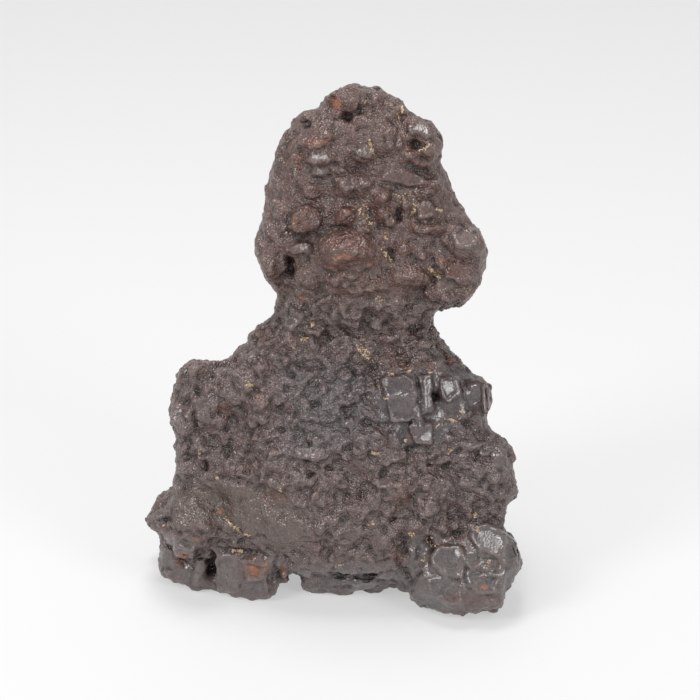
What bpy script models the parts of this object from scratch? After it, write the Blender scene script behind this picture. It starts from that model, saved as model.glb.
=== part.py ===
"""Prophecy stone: a dark brown, iron-rich concretion that stands on its own feet.

The stone is one solid. Convex chunks of rock are laid over each other, melted into one skin, roughened,
cut to the outline seen from the front, thinned, and cut flat where it stands on the floor.

Lengths in the tables are in units of the front view: u to the right of its middle, v up from its middle
and depth towards the eye. UNIT is one of them in metres. Metres, +Z up, the front faces -Y.
"""

import math
import random

import bmesh
import bpy
import numpy
from mathutils import Matrix, Vector
from mathutils.bvhtree import BVHTree

# Overall size.
STONE_HEIGHT = 0.0945
UNITS_HIGH = 94.5
UNIT = STONE_HEIGHT / UNITS_HIGH

# The front view, as the tables were read: the eye looks at the aim point from slightly above.
AIM_HEIGHT = 45.0
EYE_DISTANCE = 450.0
EYE_TILT = math.radians(20.0)
RIGHT = Vector((1.0, 0.0, 0.0))
UP = Vector((0.0, math.sin(EYE_TILT), math.cos(EYE_TILT)))
TOWARDS_EYE = Vector((0.0, -math.cos(EYE_TILT), math.sin(EYE_TILT)))
AIM = Vector((0.0, 0.0, AIM_HEIGHT))
EYE = AIM + TOWARDS_EYE * EYE_DISTANCE

# Fineness of the skin, in units, and the most triangles that the finished stone may have.
DRAFT_GRAIN = 1.0
STONE_GRAIN = 0.6
TRIANGLES = 9300

# Nodules all over the skin: how wide they are and how far they stand out.
NODULE_WIDTH = 4.2
NODULE_HEIGHT = 1.3

# Depths of the near and far ends of the outline cutter.
CUTTER_NEAR = 45.0
CUTTER_FAR = -70.0

# Sides of the floor cutter, which takes away what is below the floor.
FLOOR_WIDTH = 150.0
FLOOR_THICKNESS = 30.0

# The place of the origin under the stone is rounded to this many digits, in metres.
ORIGIN_DIGITS = 4

# Masses inside the stone, in its own axes: centre x, y, z, half sizes x, y, z, boxiness, facets.
CORES = [
    (-2, 6, 17, 25, 13, 12.5, 3.0, 9),
    (-2, 5, 28, 22, 13.5, 13, 2.6, 9),
    (-1, 4, 40, 15, 12, 10, 2.6, 8),
    (0.5, 3, 52, 10.5, 10.5, 10, 2.6, 6),
    (0.5, 2, 65, 12.5, 12.5, 11, 2.4, 8),
    (2, 2, 74, 12.5, 13, 11, 2.4, 8),
    (2, 2, 79, 9.5, 10.5, 8.5, 2.2, 8),
]

# Masses of the back and the feet that it stands on there, in the same form.
BACKS = [
    (-19, 13, 7.5, 7.5, 7, 9, 3.2, 6),
    (15, 14, 8, 8.5, 7.5, 10, 3.2, 6),
    (-2, 18, 14, 9, 6, 9.5, 2.8, 6),
    (-15, 12, 31, 8, 7.5, 10, 2.6, 6),
    (12, 12, 27, 9, 8, 9, 2.6, 6),
    (-1, 13, 40, 9, 6, 9, 2.6, 6),
    (-6, 10, 67, 8, 6.5, 9, 2.6, 6),
    (8, 11, 71, 8, 6, 8, 2.6, 6),
    (2, 9, 77, 7, 6, 7, 2.6, 6),
]

# How chunks are pressed flat in places: the least and the most that is left, as shares of their reach.
PRESS_SHARES = (0.8, 0.92)

# The front of the head and of the body: v of each row, then u and depth of each place along it, with the
# half sizes of the chunks there and how far they may stray.
HEAD_ROWS = [
    (39.5, [(0, 15), (5.5, 15)]),
    (36, [(-5, 14), (1, 18), (8, 16)]),
    (31.5, [(-6.5, 15.5), (-2, 19), (4, 20.5), (9.5, 17)]),
    (26.5, [(-7.5, 15), (-3, 20), (3, 21.5), (8, 20), (11, 16)]),
    (21, [(-9, 15), (-5, 19.5), (1, 21.5), (8, 19.5), (13, 15.5)]),
    (15.5, [(-8.5, 14), (-4, 19), (1, 21.5), (7, 19.5), (12, 15.5)]),
    (11, [(-6, 12.5), (-1, 16.5), (5, 17), (10, 14.5)]),
]
HEAD_HALF = (6.4, 6.2, 8.0)
HEAD_STRAY = 0.8
BODY_ROWS = [
    (5, [(-6.5, 7), (-1, 9.5), (3, 9.5), (6.5, 7.5)]),
    (-2, [(-11, 6.5), (-6, 9.5), (0, 10.5), (6, 9.5), (10, 7)]),
    (-9, [(-21, 6), (-15, 9.5), (-8, 11.5), (0, 12.5), (7, 12), (12, 10), (16, 6.5)]),
    (-15.5, [(-22, 5), (-18, 8.5), (-12, 11), (-4, 12.5), (4, 12.5), (12, 11), (17, 7.5)]),
    (-22, [(-22.5, 4.5), (-18, 7.5), (-11, 10.5), (-3, 11.5), (5, 11.5), (13, 10), (19, 7)]),
    (-28.5, [(-26.5, -2), (-22, 2), (-16.5, 5.5), (-10, 8), (-3, 9), (5, 9), (13, 8), (19, 5.5)]),
    (-34, [(-20, -1), (-13, 2.5), (-6, 4.5), (1, 5.5), (7, 5.5)]),
]
BODY_HALF = (7.6, 7.4, 9.0)
BODY_STRAY = 1.2
ROW_BOXINESS = 2.5
ROW_FACETS = 6

# Feet at the front and the plate above them: corners u, v, depth, and how far the slab goes back.
SLABS = [
    ([(-34.0, -28.5, -7), (-28, -25.5, -3), (-33.0, -32.8, -8), (-24, -35.8, -4.5), (-12, -38.8, -2),
      (-6, -39.7, -0.5), (3, -39.7, 0.5), (9.7, -39.2, 1), (-8, -33, 4), (4, -33, 5)], 15),
    ([(-9, -39, -5), (2, -39.3, -2.4), (10.2, -39.3, -2), (-8.7, -43, -6.5), (-5, -45, -9),
      (0, -44.6, -8), (3, -42, -4.5), (10.5, -41.5, -3.5)], 12),
    ([(-24.5, -37, -8), (-21.8, -36.3, -3.5), (-14, -37, -3), (-12, -41, -4), (-12.3, -43, -5.5),
      (-14, -46.5, -5), (-20.5, -45.6, -5), (-24.8, -43, -9)], 13),
    ([(-34.3, -33, -12), (-31.5, -33, -6.5), (-25, -34, -6), (-34.6, -39, -13), (-33.4, -41.5, -9.5),
      (-28, -45.4, -9), (-23.5, -44.5, -9.5), (-24.5, -38, -7)], 13),
]

# Chunks that stand out of the head and the body: u, v, depth, half sizes across, up and deep, roll,
# boxiness, facets.
CHUNKS = [
    (0.3, 43.2, 11, 5, 5, 5.5, 0, 2.5, 5),
    (7, 42, 10, 4, 4.4, 5, 0, 3, 4),
    (11.5, 37.6, 11, 5.6, 4.6, 6, -20, 2.5, 5),
    (18.2, 19.2, 11, 6.2, 5.4, 6, 0, 2.7, 5),
    (17.4, 13.8, 10, 6.2, 5.8, 6, 10, 2.7, 5),
    (-12.8, 17, 8, 4.6, 6, 6, 0, 2.6, 5),
    (-25.6, -8.6, -3, 6.6, 6.9, 7, 5, 5.0, 2),
    (-26, -19, -4, 5.8, 7, 7, 0, 2.8, 5),
    (-30.8, -29.6, -9, 6.2, 4.6, 6, 15, 2.6, 5),
    (20.2, -8.4, -1, 5.4, 4.6, 6, 0, 3.6, 3),
    (22.6, -15.6, -1, 5.2, 4, 6, -30, 2.8, 5),
    (24.2, -21, -2, 5.6, 5, 6, 0, 2.8, 5),
    (24.6, -26, -3, 5.4, 4.6, 6, 0, 2.6, 5),
    (21, -39.3, -1, 9.6, 8.2, 9, 0, 3, 7),
    (17, -43, -1, 6.6, 5.0, 6, -10, 3, 5),
    (25, -38.5, -2, 6.2, 7, 6.5, 0, 3, 5),
    (22.8, -43.4, 0, 5.4, 4.6, 6, 15, 3.5, 4),
]

# Chunks seated all along the outline, in rings: depth of the outline itself at some heights v, then how
# much nearer to the eye each ring is and how far it keeps inside, for the head and for the body.
RIM_DEPTHS = [(-40, -12), (-25, -8), (-10, -5), (3, -1.5), (10, 3), (20, 7), (36, 10.5), (48, 13)]
HEAD_RINGS = [(0, 0.0), (6, 2.4), (-7, 2.0)]
BODY_RINGS = [(0, 0.0), (7, 2.4), (-8, 1.0), (-15, 3.6)]
RIM_STEP = 3.6
RIM_SMALL = 3.4
RIM_LARGE = 6.0
RIM_SEAT = 0.92
RIM_WANDER = 1.5
RIM_BOXINESS = 2.5
RIM_FACETS = 4
RIM_FOOT = -30.0
NECK = 6.0

# Lumps read from the front view: u, v, half width, half height, roll, how far they stand out.
HEAD_LUMPS = [
    (0, 45.4, 4.2, 2.2, 5, 1.6), (6.3, 45, 2.6, 2.2, -20, 1.0), (8.4, 43.3, 1.8, 1.6, 0, 0.9),
    (-3, 40.4, 2.8, 1.8, 10, 0.8), (2.6, 41.4, 2.8, 1.3, 0, 0.7), (6.6, 41.3, 2.6, 1.8, -30, 1.0),
    (13, 38.3, 3.9, 2.7, -30, 2.0), (7, 38.4, 3.0, 2.2, 0, 0.8), (-0.8, 38.2, 2.8, 1.7, 15, 1.3),
    (2.4, 35.8, 2.4, 1.8, -20, 1.2), (-4.8, 34.7, 2.3, 1.3, 0, 1.1), (7, 35.4, 2.6, 1.4, 0, 0.8),
    (6.4, 33.2, 3.6, 0.8, 0, 1.0), (8.5, 31.2, 5.2, 1.5, 0, 1.2), (14, 31.2, 3.2, 1.6, 0, 1.0),
    (2.2, 30.3, 2.2, 1.8, 0, 1.4), (-0.9, 28.8, 2.0, 2.4, -20, 1.6), (6, 27.3, 2.4, 1.9, 20, 1.6),
    (6.3, 24.2, 2.6, 2.3, 0, 1.6), (-0.8, 24.2, 1.9, 1.9, 0, 1.4), (-7.6, 23.2, 2.6, 2.5, 0, 1.8),
    (-12.6, 29.8, 2.2, 2.0, 0, 1.0), (-11.4, 36, 2.0, 2.2, 30, 0.9), (-9.6, 32.8, 2.4, 1.9, 0, 0.8),
    (-6.5, 29.7, 2.2, 1.8, 0, 0.8), (-13.6, 25.4, 2.0, 2.4, 0, 1.0), (-13.6, 21.8, 2.2, 1.6, 0, 0.9),
    (-15, 19.2, 1.8, 1.9, 0, 1.0), (-14.6, 14.8, 2.2, 3.3, 20, 1.3), (-9, 18.6, 2.3, 1.5, 10, 1.1),
    (-0.5, 17.6, 5.4, 3.8, 0, 2.6), (-8.4, 14.6, 1.8, 2.4, 0, 0.8), (10.4, 20, 2.4, 1.3, 0, 0.8),
    (13.5, 22.3, 3.6, 1.5, 0, 1.6), (13.6, 25, 2.0, 1.7, 0, 1.2), (9.6, 26.8, 1.6, 1.8, 0, 0.8),
    (15.6, 28.8, 1.8, 1.7, 0, 0.9), (18.4, 24.6, 2.6, 1.7, -20, 1.0), (20.2, 19.8, 4.1, 3.0, -10, 2.2),
    (17.8, 16.2, 2.8, 1.3, -10, 1.4), (22.6, 16.6, 1.7, 2.6, 0, 1.2), (18.6, 13.6, 3.2, 1.8, 0, 1.3),
    (21.8, 12, 1.9, 2.2, 0, 1.0), (17.4, 10.4, 3.0, 1.8, 0, 0.9), (13.4, 18, 1.7, 3.2, 0, 0.9),
    (13.4, 13.8, 2.0, 1.5, 0, 0.9), (5, 12, 8.5, 1.8, 0, 0.8), (-5.8, 8, 3.0, 1.6, 30, 0.8),
    (-7, 3.4, 2.3, 1.0, 0, 0.8), (13, 4.3, 1.9, 1.0, -20, 0.8),
]

BODY_LUMPS = [
    (-15.5, 3, 2.4, 1.9, 0, 0.9), (-12, 3.5, 2.0, 1.5, 0, 0.7), (-26.4, -4.8, 3.0, 2.0, 0, 1.2),
    (-30.4, -5.6, 1.2, 3.2, -5, 0.8), (-26.7, -10.4, 1.9, 2.5, 0, 1.3), (-31, -11.4, 1.4, 2.2, 0, 1.0),
    (-22.4, -5.4, 1.7, 2.1, 0, 0.8), (-22, -8, 2.0, 1.6, 0, 0.8), (-22.4, -11.2, 1.9, 1.5, 0, 0.7),
    (-16.6, -2.8, 2.2, 1.4, 0, 0.8), (-30, -17.6, 1.6, 1.9, 0, 0.9), (-29.4, -20.6, 1.8, 1.9, 0, 0.9),
    (-30, -23.4, 1.6, 1.4, 0, 0.8), (-35, -30.2, 1.5, 1.5, 0, 0.9), (5, -15.2, 3.4, 1.7, 0, 0.9),
    (8.6, -8.8, 3.5, 4.1, 0, 2.4), (13.4, -8.2, 1.2, 3.6, 0, 1.5), (12.4, -15.1, 2.5, 2.3, 0, 1.8),
    (15.4, 1, 1.2, 2.3, 0, 0.9), (18, -7, 2.0, 2.6, 30, 0.9), (22.9, -8.2, 2.4, 3.2, 0, 1.4),
    (19.2, -17, 3.9, 1.3, 10, 1.2), (24, -18, 1.6, 1.5, 0, 1.1), (26, -16.4, 2.3, 1.5, -40, 1.0),
    (20.6, -19.4, 2.5, 1.0, 25, 0.8), (27, -21, 1.7, 2.3, 0, 1.0), (23.6, -22, 1.7, 1.7, 0, 0.8),
    (24.4, -24.6, 2.5, 1.7, 0, 1.0), (28.7, -24.4, 1.2, 2.6, -10, 1.0), (25.4, -27.2, 2.1, 2.2, 20, 0.8),
    (27, -30, 1.2, 1.9, 0, 0.8), (13, -21.6, 2.9, 1.5, 0, 0.7), (10.4, -24.2, 2.4, 1.7, 0, 0.8),
    (6, -24, 2.6, 1.8, 0, 1.1), (13.6, -27.4, 3.5, 2.3, 0, 1.0), (16.4, -31.6, 2.9, 1.9, 0, 0.7),
    (-6.4, -32, 2.8, 2.4, 0, 0.9), (-2, -36, 2.6, 2.5, 0, 0.9), (5, -35.4, 2.0, 2.4, 0, 0.8),
    (24.6, -34.6, 2.9, 3.0, 0, 1.6), (17.3, -38.2, 3.1, 2.7, 0, 1.6), (22.2, -37.7, 1.4, 1.7, 0, 1.1),
    (28.4, -36.6, 2.0, 2.7, 0, 1.2), (25.4, -39.6, 2.0, 1.4, 20, 0.9), (23.4, -42.3, 2.4, 1.6, 0, 1.0),
    (17, -43.4, 3.9, 1.9, -20, 0.9), (27.2, -42, 1.3, 2.3, 0, 0.9),
]
LUMP_BOXINESS = 2.8
LUMP_FACETS = 5

# The stone's outline on the front view, clockwise from the crown.
OUTLINE = [
    (0.5, 47.9), (3.5, 47.1), (5.3, 47.4), (7.0, 45.8), (9.3, 45.0), (9.9, 43.5), (11.0, 42.6),
    (14.5, 41.0), (16.8, 38.3), (16.9, 36.0), (16.0, 34.0), (17.6, 32.0), (17.5, 31.0), (18.6, 29.3),
    (18.5, 28.4), (19.5, 26.0), (20.4, 25.6), (22.0, 22.6), (23.0, 22.2), (23.8, 20.0), (25.0, 17.5),
    (24.9, 16.6), (24.2, 15.9), (24.1, 13.9), (23.5, 13.1), (23.5, 12.0), (22.0, 10.0), (21.0, 8.7),
    (18.5, 7.5), (16.2, 7.0), (15.4, 7.4), (14.9, 7.0), (14.7, 4.5), (15.5, 3.3), (16.5, 2.0), (17.2, 1.3),
    (18.2, -0.3), (18.8, -1.1), (19.9, -1.6), (20.6, -3.0), (21.9, -4.2), (24.0, -5.7), (25.0, -6.0),
    (25.4, -6.6), (25.5, -9.0), (24.5, -11.8), (23.6, -12.7), (24.5, -13.1), (25.2, -14.4),
    (26.5, -15.1), (29.2, -17.7), (29.6, -18.6), (29.1, -21.0), (30.2, -25.5), (30.0, -26.4),
    (28.0, -27.7), (28.2, -29.5), (28.0, -32.4), (29.2, -33.2), (30.6, -36.9), (31.4, -37.8),
    (30.9, -39.2), (29.6, -40.8), (28.0, -43.6), (26.7, -46.8), (26.1, -47.5), (24.3, -47.0),
    (21.5, -47.3), (20.6, -48.0), (19.5, -47.9), (17.5, -47.3), (15.0, -46.8), (12.0, -46.0),
    (10.9, -44.6), (10.6, -42.7), (7.0, -42.4), (5.0, -43.5), (-1.0, -44.5), (-5.3, -44.7),
    (-8.8, -43.0), (-8.9, -41.0), (-9.5, -40.0), (-10.3, -40.4), (-11.3, -41.8), (-12.5, -44.3),
    (-13.6, -45.7), (-15.0, -46.0), (-19.0, -44.8), (-21.0, -44.9), (-23.0, -44.0), (-27.2, -44.4),
    (-29.8, -42.4), (-33.3, -40.9), (-34.5, -39.0), (-33.9, -35.0), (-34.4, -32.7), (-35.6, -32.6),
    (-36.8, -30.6), (-36.4, -29.7), (-35.6, -28.9), (-35.0, -26.4), (-33.0, -25.3), (-31.6, -24.7),
    (-31.8, -23.6), (-31.2, -20.9), (-31.5, -17.2), (-30.9, -16.4), (-32.1, -13.8), (-32.4, -11.3),
    (-31.0, -5.7), (-30.6, -3.4), (-29.2, -1.8), (-27.8, -1.6), (-26.7, -2.1), (-21.7, -1.8),
    (-20.2, 0.5), (-18.4, 1.0), (-17.8, 2.8), (-16.5, 4.7), (-14.8, 5.1), (-13.3, 8.0), (-12.8, 10.2),
    (-13.7, 11.2), (-15.5, 13.5), (-17.2, 18.5), (-17.2, 19.7), (-16.3, 22.0), (-15.4, 25.5),
    (-15.2, 29.5), (-14.0, 32.5), (-13.1, 36.0), (-12.0, 38.7), (-10.6, 40.3), (-9.0, 42.7),
    (-8.3, 43.2), (-6.0, 43.1), (-4.0, 46.0), (-1.0, 47.3),
]

# Lumps scattered over the back: how many are tried, their radii, how far apart they keep as a share of
# two radii, how far the skin must turn from the eye there, and how high above the floor they start. Then
# their widths, heights and depths in the skin as shares of the radius, their boxiness and their facets.
SCATTER_TRIES = 700
SCATTER_SMALL = 1.6
SCATTER_LARGE = 4.6
SCATTER_SPACING = 0.75
SCATTER_TURN = -0.3
FLOOR_CLEARANCE = 2.0
SCATTER_WIDTHS = (0.8, 1.3)
SCATTER_HEIGHTS = (0.7, 1.0)
SCATTER_SEATS = (0.35, 0.75)
SCATTER_BOXINESS = (2.2, 3.6)
SCATTER_FACETS = 6


def front(u, v, depth):
    """Point seen at u, v on the front view, depth units nearer to the eye than the aim point."""
    return (AIM + RIGHT * u + UP * v).lerp(EYE, depth / EYE_DISTANCE)


def axes_along(outward, degrees):
    """Axes with the third one along outward, rolled counterclockwise about it."""
    across = UP.cross(outward).normalized()
    if across.length < 0.5:
        across = RIGHT
    axes = Matrix((across, outward.cross(across), outward)).transposed()
    return axes @ Matrix.Rotation(math.radians(degrees), 3, "Z")


def any_direction(rng):
    """Unit vector that points any way."""
    return Vector((rng.gauss(0, 1), rng.gauss(0, 1), rng.gauss(0, 1))).normalized()


def press(verts, normal, share):
    """Presses the verts flat where they stand further out along normal than share of the most."""
    limit = max(vert.co.dot(normal) for vert in verts) * share
    for vert in verts:
        over = vert.co.dot(normal) - limit
        if over > 0:
            vert.co -= normal * over


def add_hull(bm, piece):
    """Adds the convex hull of the piece's vertices to the bmesh and frees the piece."""
    hull = bmesh.ops.convex_hull(piece, input=piece.verts, use_existing_faces=False)
    inside = [item for item in hull["geom_interior"] if isinstance(item, bmesh.types.BMVert)]
    bmesh.ops.delete(piece, geom=inside, context="VERTS")
    mesh = bpy.data.meshes.new("chunk")
    piece.to_mesh(mesh)
    piece.free()
    bm.from_mesh(mesh)
    bpy.data.meshes.remove(mesh)


def add_chunk(bm, centre, half, axes, boxiness, facets, rng):
    """Convex chunk of rock: a ball made boxier and pressed flat in places."""
    piece = bmesh.new()
    ball = bmesh.ops.create_icosphere(piece, subdivisions=3, radius=1.0)["verts"]
    for vert in ball:
        spread = sum(abs(part) ** boxiness for part in vert.co)
        vert.co /= spread ** (1.0 / boxiness)
    for _ in range(facets):
        press(ball, any_direction(rng), rng.uniform(*PRESS_SHARES))
    for vert in ball:
        stretched = Vector((vert.co.x * half[0], vert.co.y * half[1], vert.co.z * half[2]))
        vert.co = (centre + axes @ stretched) * UNIT
    add_hull(bm, piece)


def add_slab(bm, corners, thickness):
    """Convex slab between corners on the front and the same corners moved back by thickness."""
    piece = bmesh.new()
    for u, v, depth in corners:
        piece.verts.new(front(u, v, depth) * UNIT)
        piece.verts.new(front(u, v, depth - thickness) * UNIT)
    add_hull(bm, piece)


def add_rows(bm, rows, half, stray, rng):
    """Chunks side by side that make the front of the head or of the body."""
    for v, places in rows:
        for u, depth in places:
            stray_u = rng.uniform(-stray, stray)
            stray_v = rng.uniform(-stray, stray)
            centre = front(u + stray_u, v + stray_v, depth - half[2])
            axes = axes_along(TOWARDS_EYE, rng.uniform(0, 180))
            add_chunk(bm, centre, half, axes, ROW_BOXINESS, ROW_FACETS, rng)


def outline_places():
    """Places evenly spaced along the outline, each with the direction that leads inside."""
    points = numpy.array(OUTLINE + OUTLINE[:1])
    lengths = numpy.linalg.norm(numpy.diff(points, axis=0), axis=1)
    along = numpy.concatenate(([0.0], numpy.cumsum(lengths)))
    spots = numpy.arange(0.0, along[-1], RIM_STEP)
    us = numpy.interp(spots, along, points[:, 0])
    vs = numpy.interp(spots, along, points[:, 1])
    travel_u = numpy.roll(us, -1) - numpy.roll(us, 1)
    travel_v = numpy.roll(vs, -1) - numpy.roll(vs, 1)
    inward = [Vector(pair).normalized() for pair in zip(travel_v, -travel_u)]
    return list(zip([Vector(pair) for pair in zip(us, vs)], inward))


def add_rim(bm, rng):
    """Rings of chunks that round the stone off from its outline towards the front and the back."""
    heights, depths = zip(*RIM_DEPTHS)
    for place, inward in outline_places():
        if place.y < RIM_FOOT:
            continue
        for nearer, inside in HEAD_RINGS if place.y > NECK else BODY_RINGS:
            radius = rng.uniform(RIM_SMALL, RIM_LARGE)
            spot = place + inward * (radius * RIM_SEAT + inside)
            wander = rng.uniform(-RIM_WANDER, RIM_WANDER)
            depth = float(numpy.interp(place.y, heights, depths)) + nearer + wander
            axes = axes_along(TOWARDS_EYE, rng.uniform(0, 180))
            centre = front(spot.x, spot.y, depth)
            add_chunk(bm, centre, (radius, radius, radius), axes, RIM_BOXINESS, RIM_FACETS, rng)


def add_masses(bm, rng):
    """The masses that give the stone its depth and, with a little to spare, its outline."""
    for x, y, z, half_x, half_y, half_z, boxiness, facets in CORES + BACKS:
        half = (half_x, half_y, half_z)
        add_chunk(bm, Vector((x, y, z)), half, Matrix.Identity(3), boxiness, facets, rng)
    for corners, thickness in SLABS:
        add_slab(bm, corners, thickness)
    for u, v, depth, half_u, half_v, half_d, roll, boxiness, facets in CHUNKS:
        axes = axes_along(TOWARDS_EYE, roll)
        add_chunk(bm, front(u, v, depth), (half_u, half_v, half_d), axes, boxiness, facets, rng)
    add_rows(bm, HEAD_ROWS, HEAD_HALF, HEAD_STRAY, rng)
    add_rows(bm, BODY_ROWS, BODY_HALF, BODY_STRAY, rng)
    add_rim(bm, rng)


def add_front_lumps(bm, skin, rng):
    """Lumps seated on the skin where the front view shows them."""
    for u, v, half_u, half_v, roll, stand in HEAD_LUMPS + BODY_LUMPS:
        ray = (front(u, v, 0) - EYE).normalized()
        seat, normal, _, _ = skin.ray_cast(EYE * UNIT, ray)
        if seat is None:
            continue
        outward = (TOWARDS_EYE + normal).normalized()
        half_d = 0.6 * (half_u + half_v) + stand
        centre = seat / UNIT - outward * (half_d - stand)
        axes = axes_along(outward, roll)
        add_chunk(bm, centre, (half_u, half_v, half_d), axes, LUMP_BOXINESS, LUMP_FACETS, rng)


def is_hidden(face):
    """True for a face well behind the outline and clear of the floor."""
    return face.normal.dot(TOWARDS_EYE) < SCATTER_TURN and face.center.z > FLOOR_CLEARANCE * UNIT


def add_scattered_lumps(bm, mesh, rng):
    """Lumps of many sizes on the back, clear of the floor and of each other."""
    faces = [face for face in mesh.polygons if is_hidden(face)]
    placed = []
    for _ in range(SCATTER_TRIES):
        face = rng.choice(faces)
        radius = SCATTER_SMALL + (SCATTER_LARGE - SCATTER_SMALL) * rng.random() ** 2
        seat = face.center / UNIT
        if any((seat - other).length < SCATTER_SPACING * (radius + reach) for other, reach in placed):
            continue
        placed.append((seat, radius))
        half = (radius * rng.uniform(*SCATTER_WIDTHS), radius * rng.uniform(*SCATTER_HEIGHTS), radius)
        centre = seat - face.normal * radius * rng.uniform(*SCATTER_SEATS)
        axes = axes_along(face.normal, rng.uniform(0, 180))
        add_chunk(bm, centre, half, axes, rng.uniform(*SCATTER_BOXINESS), SCATTER_FACETS, rng)


def add_outline_cutter(collection):
    """Cutter that keeps what the front view shows inside the outline, near and far."""
    bm = bmesh.new()
    near = [bm.verts.new(front(u, v, CUTTER_NEAR) * UNIT) for u, v in OUTLINE]
    face = bm.faces.new(near)
    far = bmesh.ops.extrude_face_region(bm, geom=[face])["geom"]
    spread = (EYE_DISTANCE - CUTTER_FAR) / (EYE_DISTANCE - CUTTER_NEAR)
    for vert in [item for item in far if isinstance(item, bmesh.types.BMVert)]:
        vert.co = (EYE + (vert.co / UNIT - EYE) * spread) * UNIT
    bmesh.ops.recalc_face_normals(bm, faces=bm.faces)
    return add_cutter("outline_cutter", bm, collection)


def add_floor_cutter(collection):
    """Cutter that takes away everything below the floor."""
    bm = bmesh.new()
    bmesh.ops.create_cube(bm, size=1.0)
    size = Vector((FLOOR_WIDTH, FLOOR_WIDTH, FLOOR_THICKNESS)) * UNIT
    bmesh.ops.scale(bm, vec=size, verts=bm.verts)
    bmesh.ops.translate(bm, vec=Vector((0.0, 0.0, -size.z / 2)), verts=bm.verts)
    return add_cutter("floor_cutter", bm, collection)


def add_cutter(name, bm, collection):
    """Object that only cuts."""
    cutter = new_object(name, bm, collection)
    cutter.display_type = "WIRE"
    cutter.hide_render = True
    return cutter


def new_object(name, bm, collection):
    """Object made of the bmesh, which is freed."""
    mesh = bpy.data.meshes.new(name)
    bm.to_mesh(mesh)
    bm.free()
    obj = bpy.data.objects.new(name, mesh)
    collection.objects.link(obj)
    return obj


def melt(obj, grain):
    """Melts the overlapping chunks of the object into one skin."""
    remesh = obj.modifiers.new("Skin", "REMESH")
    remesh.mode = "VOXEL"
    remesh.voxel_size = grain * UNIT


def roughen(obj):
    """Raises nodules all over the skin."""
    cells = bpy.data.textures.new("nodules", "VORONOI")
    cells.noise_scale = NODULE_WIDTH * UNIT
    displace = obj.modifiers.new("Nodules", "DISPLACE")
    displace.texture = cells
    displace.strength = -NODULE_HEIGHT * UNIT


def cut(obj, cutter, operation):
    """Cuts the object with the cutter."""
    boolean = obj.modifiers.new("Cut", "BOOLEAN")
    boolean.operation = operation
    boolean.solver = "EXACT"
    boolean.object = cutter


def finished_mesh(obj):
    """New mesh of the object as its modifiers leave it."""
    graph = bpy.context.evaluated_depsgraph_get()
    return bpy.data.meshes.new_from_object(obj.evaluated_get(graph))


def thin(obj):
    """Thins the skin to the number of triangles that the stone may have."""
    mesh = finished_mesh(obj)
    mesh.calc_loop_triangles()
    decimate = obj.modifiers.new("Thin", "DECIMATE")
    decimate.ratio = TRIANGLES / len(mesh.loop_triangles)
    bpy.data.meshes.remove(mesh)


def new_collection(name):
    """Empty collection in the scene."""
    collection = bpy.data.collections.new(name)
    bpy.context.scene.collection.children.link(collection)
    return collection


def stone_material():
    """Dark brown iron-rich stone with a dull gloss."""
    material = bpy.data.materials.new("brown_ironstone")
    material.use_nodes = True
    shader = material.node_tree.nodes["Principled BSDF"]
    shader.inputs["Base Color"].default_value = (0.085, 0.062, 0.056, 1.0)
    shader.inputs["Roughness"].default_value = 0.45
    shader.inputs["Metallic"].default_value = 0.1
    return material


def add_chunks(parts):
    """The object with all the chunks, still separate: first the masses, then the lumps on their skin."""
    rng = random.Random(7)
    masses = bmesh.new()
    add_masses(masses, rng)
    bm = masses.copy()
    draft = new_object("draft", masses, parts)
    melt(draft, DRAFT_GRAIN)
    mesh = finished_mesh(draft)
    bpy.data.objects.remove(draft, do_unlink=True)
    skin_bm = bmesh.new()
    skin_bm.from_mesh(mesh)
    add_front_lumps(bm, BVHTree.FromBMesh(skin_bm), rng)
    skin_bm.free()
    add_scattered_lumps(bm, mesh, rng)
    bpy.data.meshes.remove(mesh)
    return new_object("prophecy_stone", bm, parts)


def stand_on_origin(base, stone):
    """Moves the base so that the middle of the stone's footprint stands on the origin."""
    mesh = finished_mesh(stone)
    xs = [vert.co.x for vert in mesh.vertices]
    ys = [vert.co.y for vert in mesh.vertices]
    middle_x = round((min(xs) + max(xs)) / 2, ORIGIN_DIGITS)
    middle_y = round((min(ys) + max(ys)) / 2, ORIGIN_DIGITS)
    base.location = (-middle_x, -middle_y, 0.0)
    bpy.data.meshes.remove(mesh)


def build_stone():
    """The whole stone."""
    for old in list(bpy.data.objects):
        bpy.data.objects.remove(old, do_unlink=True)
    parts = new_collection("Prophecy stone")
    cutters = new_collection("Cutters")
    stone = add_chunks(parts)
    stone.data.materials.append(stone_material())
    outline_cutter = add_outline_cutter(cutters)
    floor_cutter = add_floor_cutter(cutters)
    melt(stone, STONE_GRAIN)
    roughen(stone)
    melt(stone, STONE_GRAIN)
    cut(stone, outline_cutter, "INTERSECT")
    melt(stone, STONE_GRAIN)
    thin(stone)
    cut(stone, floor_cutter, "DIFFERENCE")
    base = bpy.data.objects.new("base", None)
    parts.objects.link(base)
    stand_on_origin(base, stone)
    for obj in (stone, outline_cutter, floor_cutter):
        obj.parent = base


build_stone()
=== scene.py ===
import math
import random

import bmesh
import bpy
import numpy as np
from bpy.props import FloatProperty, FloatVectorProperty, IntProperty, PointerProperty
from mathutils import Matrix, Vector, noise
from mathutils.bvhtree import BVHTree


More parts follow.
